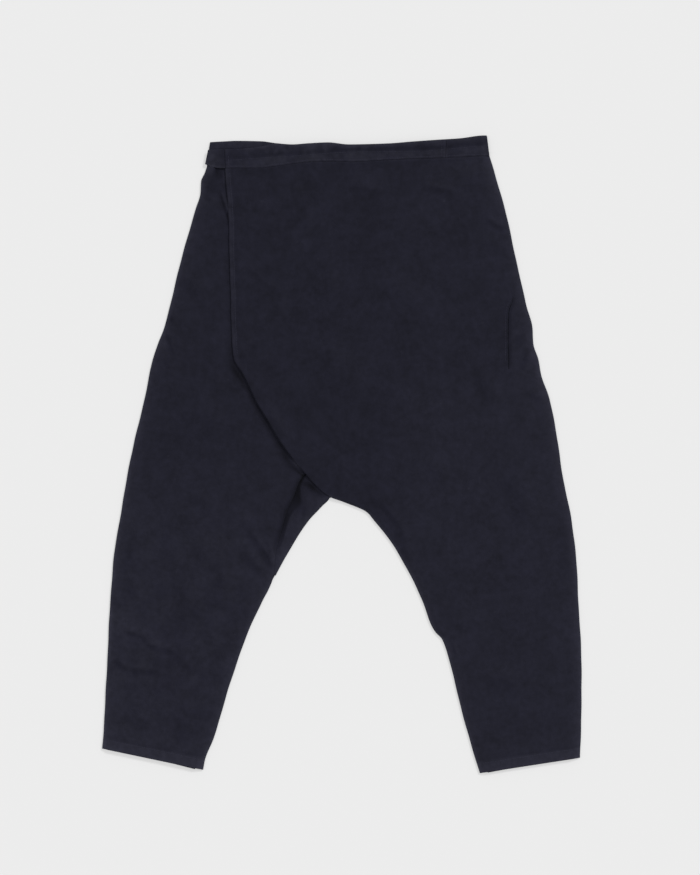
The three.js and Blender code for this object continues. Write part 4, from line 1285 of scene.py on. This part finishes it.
def mix_colour(tree, factor, a, b):
    """Two colours mixed by a factor."""
    node = tree.nodes.new("ShaderNodeMix")
    node.data_type, node.clamp_factor = "RGBA", True
    for key, value in (("Factor_Float", factor), ("A_Color", a), ("B_Color", b)):
        socket = next(s for s in node.inputs if s.identifier == key)
        link_or_set(tree, socket, value)
    return next(s for s in node.outputs if s.identifier == "Result_Color")


def noise(tree, vector, scale, detail=2.0, roughness=0.5):
    """Noise from 0 to 1 with features 1 / scale metres apart."""
    inputs = {"Vector": vector, "Scale": scale, "Detail": detail, "Roughness": roughness}
    return add_node(tree, "ShaderNodeTexNoise", **inputs).outputs[0]


def ramp(tree, value, low, high, to_low=0.0, to_high=1.0):
    """A number carried from one range to another, eased between."""
    node = add_node(
        tree, "ShaderNodeMapRange", {"interpolation_type": "SMOOTHSTEP"},
        _0=value, _1=low, _2=high, _3=to_low, _4=to_high,
    )
    return node.outputs[0]


def new_group(name, inputs, outputs):
    """A shader node group with named sockets."""
    group = bpy.data.node_groups.new(name, "ShaderNodeTree")
    for label, kind, default in inputs:
        socket = group.interface.new_socket(label, in_out="INPUT", socket_type="NodeSocket" + kind)
        if default is not None:
            socket.default_value = default
    for label, kind in outputs:
        group.interface.new_socket(label, in_out="OUTPUT", socket_type="NodeSocket" + kind)
    return group, group.nodes.new("NodeGroupInput").outputs, group.nodes.new("NodeGroupOutput").inputs


# %% Weave: ribs, yarns and slubs
def make_weave():
    """
    Height of a fine twill: diagonal ribs sin(2 pi (u + 0.6 v) / pitch), crossed by softer yarns, and
    broken up by noise. Slubs are noise drawn out along the warp.
    """
    group, given, result = new_group(
        "Weave", [("Cloth", "Vector", None), ("Ribs per metre", "Float", 1100.0), ("Slub", "Float", 0.5)],
        [("Height", "Float"), ("Slub mask", "Float")],
    )
    u, v = add_node(group, "ShaderNodeSeparateXYZ", Vector=given["Cloth"]).outputs[:2]
    drift = math_node(group, "MULTIPLY", noise(group, given["Cloth"], 180.0), 0.0022)
    diagonal = math_node(group, "ADD", math_node(group, "MULTIPLY_ADD", v, 0.6, u), drift)
    turns = math_node(group, "MULTIPLY", given["Ribs per metre"], 2 * math.pi)
    ribs = math_node(group, "SINE", math_node(group, "MULTIPLY", diagonal, turns))
    yarns = math_node(group, "SINE", math_node(group, "MULTIPLY", v, turns))
    woven = math_node(group, "MULTIPLY_ADD", yarns, 0.35, ribs)
    drawn = add_node(group, "ShaderNodeMapping", Vector=given["Cloth"], Scale=(420.0, 38.0, 1.0)).outputs[0]
    slub = ramp(group, noise(group, drawn, 1.0, 1.0), 0.60, 0.78)
    slub = math_node(group, "MULTIPLY", slub, given["Slub"])
    height = math_node(group, "MULTIPLY_ADD", woven, 0.25, math_node(group, "ADD", slub, 0.5))
    group.links.new(height, result["Height"])
    group.links.new(slub, result["Slub mask"])
    return group


weave_group = make_weave()
print("weave:", len(weave_group.nodes), "nodes")

# %% Nap: patches, fading, painted light and shade, and lint
def make_nap():
    """
    Colour of brushed cloth. Patches of about 8 to 45 mm shift the tone a little, the Wear input is the
    share of pale mixed in above 0, for rubbed places and painted light, and the share of painted shade
    below 0, and a few specks of lint lie on it.
    """
    group, given, result = new_group(
        "Nap",
        [("Cloth", "Vector", None), ("Colour", "Color", (0.015, 0.015, 0.024, 1)),
         ("Pale", "Color", (0.05, 0.05, 0.075, 1)), ("Painted shade", "Color", (0.001, 0.001, 0.002, 1)),
         ("Wear", "Float", 0.0), ("Patches", "Float", 0.2), ("Lint", "Float", 1.0)],
        [("Colour", "Color"), ("Relief", "Float")],
    )
    broad, cloudy = noise(group, given["Cloth"], 22.0), noise(group, given["Cloth"], 60.0)
    small, fine = noise(group, given["Cloth"], 130.0, roughness=0.6), noise(group, given["Cloth"], 420.0)
    patches = math_node(group, "ADD", math_node(group, "ADD", broad, cloudy), small)
    patches = math_node(group, "SUBTRACT", patches, 1.5)
    tone = math_node(group, "MULTIPLY_ADD", patches, given["Patches"], 1.0)
    toned = add_node(group, "ShaderNodeHueSaturation", Value=tone, Color=given["Colour"]).outputs[0]
    uneven = math_node(group, "ADD", small, 0.5)
    # above 0 the Wear input is rubbed paleness and painted light
    rubbed_and_painted_light = math_node(group, "MAXIMUM", given["Wear"], 0.0)
    pale_mask = math_node(group, "MULTIPLY", rubbed_and_painted_light, uneven, clamp=True)
    pale_mixed = mix_colour(group, pale_mask, toned, given["Pale"])
    # painted shade: below 0 the Wear input mixes in a near-black colour
    painted_shade_mask = math_node(group, "MULTIPLY", given["Wear"], -1.0, clamp=True)
    folded = mix_colour(group, painted_shade_mask, pale_mixed, given["Painted shade"])
    specks = ramp(group, noise(group, given["Cloth"], 110.0, 0.0), 0.82, 0.90)
    specks = math_node(group, "MULTIPLY", specks, given["Lint"])
    linty = mix_colour(group, math_node(group, "MULTIPLY", specks, 0.05), folded, (0.06, 0.06, 0.08, 1))
    relief = math_node(group, "MULTIPLY_ADD", small, 0.8, math_node(group, "MULTIPLY", fine, 0.15))
    group.links.new(linty, result["Colour"])
    group.links.new(relief, result["Relief"])
    return group


nap_group = make_nap()
print("nap:", len(nap_group.nodes), "nodes")

# %% The materials
NAVY = (0.0080, 0.0080, 0.0148, 1)
SHEEN = 0.05
WEAVE_MM = 0.05  # height of the weave


def cloth_material(name, colour, pale, patches, ribs, relief_mm, lint=1.0):
    """Matt brushed cotton: its nap's colour, patches raised by relief_mm, and so many ribs a metre."""
    material = bpy.data.materials.new(name)
    material.use_nodes = True
    tree = material.node_tree
    shader = tree.nodes["Principled BSDF"]
    cloth = add_node(tree, "ShaderNodeUVMap", {"uv_map": "cloth"}).outputs[0]
    # the wear number, which also carries painted light and painted shade
    worn_and_painted_shading = add_node(tree, "ShaderNodeAttribute", {"attribute_name": "wear"}).outputs["Fac"]
    nap = add_node(
        tree, "ShaderNodeGroup", {"node_tree": nap_group},
        Cloth=cloth, Colour=colour, Pale=pale, Wear=worn_and_painted_shading, Patches=patches, Lint=lint,
    )
    weave = add_node(tree, "ShaderNodeGroup", {"node_tree": weave_group}, Cloth=cloth, Ribs_per_metre=ribs)
    raised = nap.outputs["Relief"]
    soft = add_node(tree, "ShaderNodeBump", Height=raised, Distance=relief_mm * MM, Strength=1.0)
    fine = add_node(
        tree, "ShaderNodeBump",
        Height=weave.outputs["Height"], Distance=WEAVE_MM * MM, Strength=0.8, Normal=soft.outputs[0],
    )
    on_slubs = math_node(tree, "MULTIPLY", weave.outputs["Slub mask"], 0.07)
    slubbed = mix_colour(tree, on_slubs, nap.outputs["Colour"], pale)
    roughness = ramp(tree, worn_and_painted_shading, -1.0, 1.0, 0.98, 0.84)
    tree.links.new(slubbed, shader.inputs["Base Color"])
    tree.links.new(roughness, shader.inputs["Roughness"])
    tree.links.new(fine.outputs[0], shader.inputs["Normal"])
    shader.inputs["Specular IOR Level"].default_value = 0.12
    shader.inputs["Sheen Weight"].default_value = SHEEN
    shader.inputs["Sheen Roughness"].default_value = 0.45
    shader.inputs["Sheen Tint"].default_value = (0.55, 0.58, 0.75, 1)
    return material


finishes = {
    "cloth": cloth_material("navy_cloth", NAVY, (0.034, 0.034, 0.050, 1), 0.62, 1100.0, 0.35),
    "band": cloth_material("navy_band", NAVY, (0.038, 0.038, 0.054, 1), 0.70, 1250.0, 0.45),
    "thread": cloth_material(
        "navy_thread", (0.022, 0.022, 0.036, 1), (0.04, 0.04, 0.06, 1), 0.1, 2400.0, 0.05, lint=0.0
    ),
}
for name, piece in pieces.items():
    finish = "thread" if name.startswith("stitches") else "band" if name.startswith("waistband") else "cloth"
    piece.data.materials.append(finishes[finish])
print("materials:", list(finishes))

# %% [markdown]
# ## What each piece stands for
# The frame's solids are hidden, and the pieces made here are shown in their place. The frame's solids
# stay in the physics, and the pieces made here are shown in their place. A sheet also states the size
# that it was cut to. That is read off its cloth coordinates, which go round its curled edges as the
# cloth does.

# %% Pieces and cuts
SHEETS = (  # a sheet, the node that it stands for, the sheets that it rests on, and its rows of stitches
    ("back_right", "back_right", "", ""),
    ("back_left", "back_left", "", "back"),
    ("front_right", "front_right", "back_right", "right_front"),
    ("front_left", "front_left", "front_right back_left", "left_front"),
    ("gusset", "crotch_gusset", "back_right", ""),
    ("pocket_facing", "pocket_facing_left", "back_left", ""),
    ("hem_back_right", "hem_back_right", "back_right", ""),
    ("hem_back_left", "hem_back_left", "back_left", ""),
    ("hem_front_right", "hem_front_right", "hem_back_right", ""),
    ("hem_front_left", "hem_front_left", "hem_back_left", ""),
    ("flap_turning", "wrap_edge_hem", "front_right", ""),
    ("waistband_back", "waistband_back", "", ""),
    ("waistband_right", "waistband_right", "waistband_back", ""),
    ("waistband_tab", "waistband_tab", "waistband_right", ""),
    ("waistband_front", "waistband_front", "waistband_right", "band"),
    ("waistband_side", "waistband_side", "waistband_back", ""),
)


def cut_size(piece):
    """(width, length, area) in metres of a piece's cloth coordinates: their box, and all its quads."""
    mesh = piece.data
    uv = np.empty(len(mesh.loops) * 2)
    mesh.uv_layers["cloth"].data.foreach_get("uv", uv)
    corner = uv.reshape(-1, 4, 2)
    first, second = corner[:, 2] - corner[:, 0], corner[:, 3] - corner[:, 1]
    area = np.abs(first[:, 0] * second[:, 1] - first[:, 1] * second[:, 0]).sum() / 2
    size = corner.reshape(-1, 2).max(axis=0) - corner.reshape(-1, 2).min(axis=0)
    return float(size[0]), float(size[1]), float(area)


for name, piece in pieces.items():
    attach(piece, "root")
for sheet, node, below, rows in SHEETS:
    name = f"{sheet}_cloth"
    piece = pieces[name]
    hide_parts(node)
    width, length, area = cut_size(piece)
    if name.startswith("waistband"):
        width, area = area / 2 / length + BAND * MM, None
    print(f"{name}: cut {width:.3f} x {length:.3f} m" + (f", {area:.4f} m2" if area else ", folded double"))

# %% [markdown]
# ## Floor, camera and light
# The garment lies on a plain pale floor that shines a little by itself, so that it stays even and the
# shadows on it stay faint. The camera looks straight down. A low, wide sun from the upper right draws the
# folds, and the pale surroundings fill the rest.

# %% Floor
HALF_FLOOR = 40.0
FLOOR_GLOW = 0.465


def plain_floor():
    """A square floor a hair below the garment."""
    mesh = bpy.data.meshes.new("floor")
    corners = [(-1, -1), (1, -1), (1, 1), (-1, 1)]
    mesh.from_pydata([(x * HALF_FLOOR, y * HALF_FLOOR, -0.0004) for x, y in corners], [], [(0, 1, 2, 3)])
    floor = bpy.data.objects.new("floor", mesh)
    bpy.context.scene.collection.objects.link(floor)
    material = bpy.data.materials.new("pale_floor")
    material.use_nodes = True
    shader = material.node_tree.nodes["Principled BSDF"]
    shader.inputs["Base Color"].default_value = (0.30, 0.30, 0.30, 1)
    shader.inputs["Roughness"].default_value = 1.0
    shader.inputs["Specular IOR Level"].default_value = 0.0
    shader.inputs["Emission Color"].default_value = (1.0, 1.0, 1.0, 1)
    shader.inputs["Emission Strength"].default_value = FLOOR_GLOW
    mesh.materials.append(material)


plain_floor()
print("floor:", 2 * HALF_FLOOR, "m square")

# %% Camera
VIEW_HEIGHT = 1.2688  # metres of the floor from the top of the view to its bottom
VIEW_MIDDLE = (0.0117, 0.0244)
CAMERA_HEIGHT = 3.2
CLOTH_HEIGHT = 0.004  # where the view has that height: half way up the garment
camera_data = bpy.data.cameras.new("camera")
camera_data.sensor_fit = "VERTICAL"
camera_data.sensor_height = 36.0
camera_data.lens = 36.0 * (CAMERA_HEIGHT - CLOTH_HEIGHT) / VIEW_HEIGHT
camera = bpy.data.objects.new("camera", camera_data)
camera.location = (*VIEW_MIDDLE, CAMERA_HEIGHT)
bpy.context.scene.collection.objects.link(camera)
bpy.context.scene.camera = camera
print("lens:", round(camera_data.lens, 1), "mm")

# %% Light
def sun(name, azimuth, elevation, strength, spread):
    """A sun seen at an azimuth, in degrees from +X towards +Y, and an elevation."""
    data = bpy.data.lights.new(name, "SUN")
    data.energy = strength
    data.angle = math.radians(spread)
    light = bpy.data.objects.new(name, data)
    light.rotation_euler = (0.0, math.radians(90 - elevation), math.radians(azimuth))
    bpy.context.scene.collection.objects.link(light)


sun("key", 48, 36, 2.2, 14)
sun("fill", 200, 55, 0.35, 30)
world = bpy.data.worlds.new("studio")
world.use_nodes = True
background = world.node_tree.nodes["Background"]
background.inputs["Color"].default_value = (1.0, 1.0, 1.0, 1)
background.inputs["Strength"].default_value = 0.75
bpy.context.scene.world = world
bpy.context.scene.view_settings.view_transform = "Standard"
print("lights:", [light.name for light in bpy.data.lights])
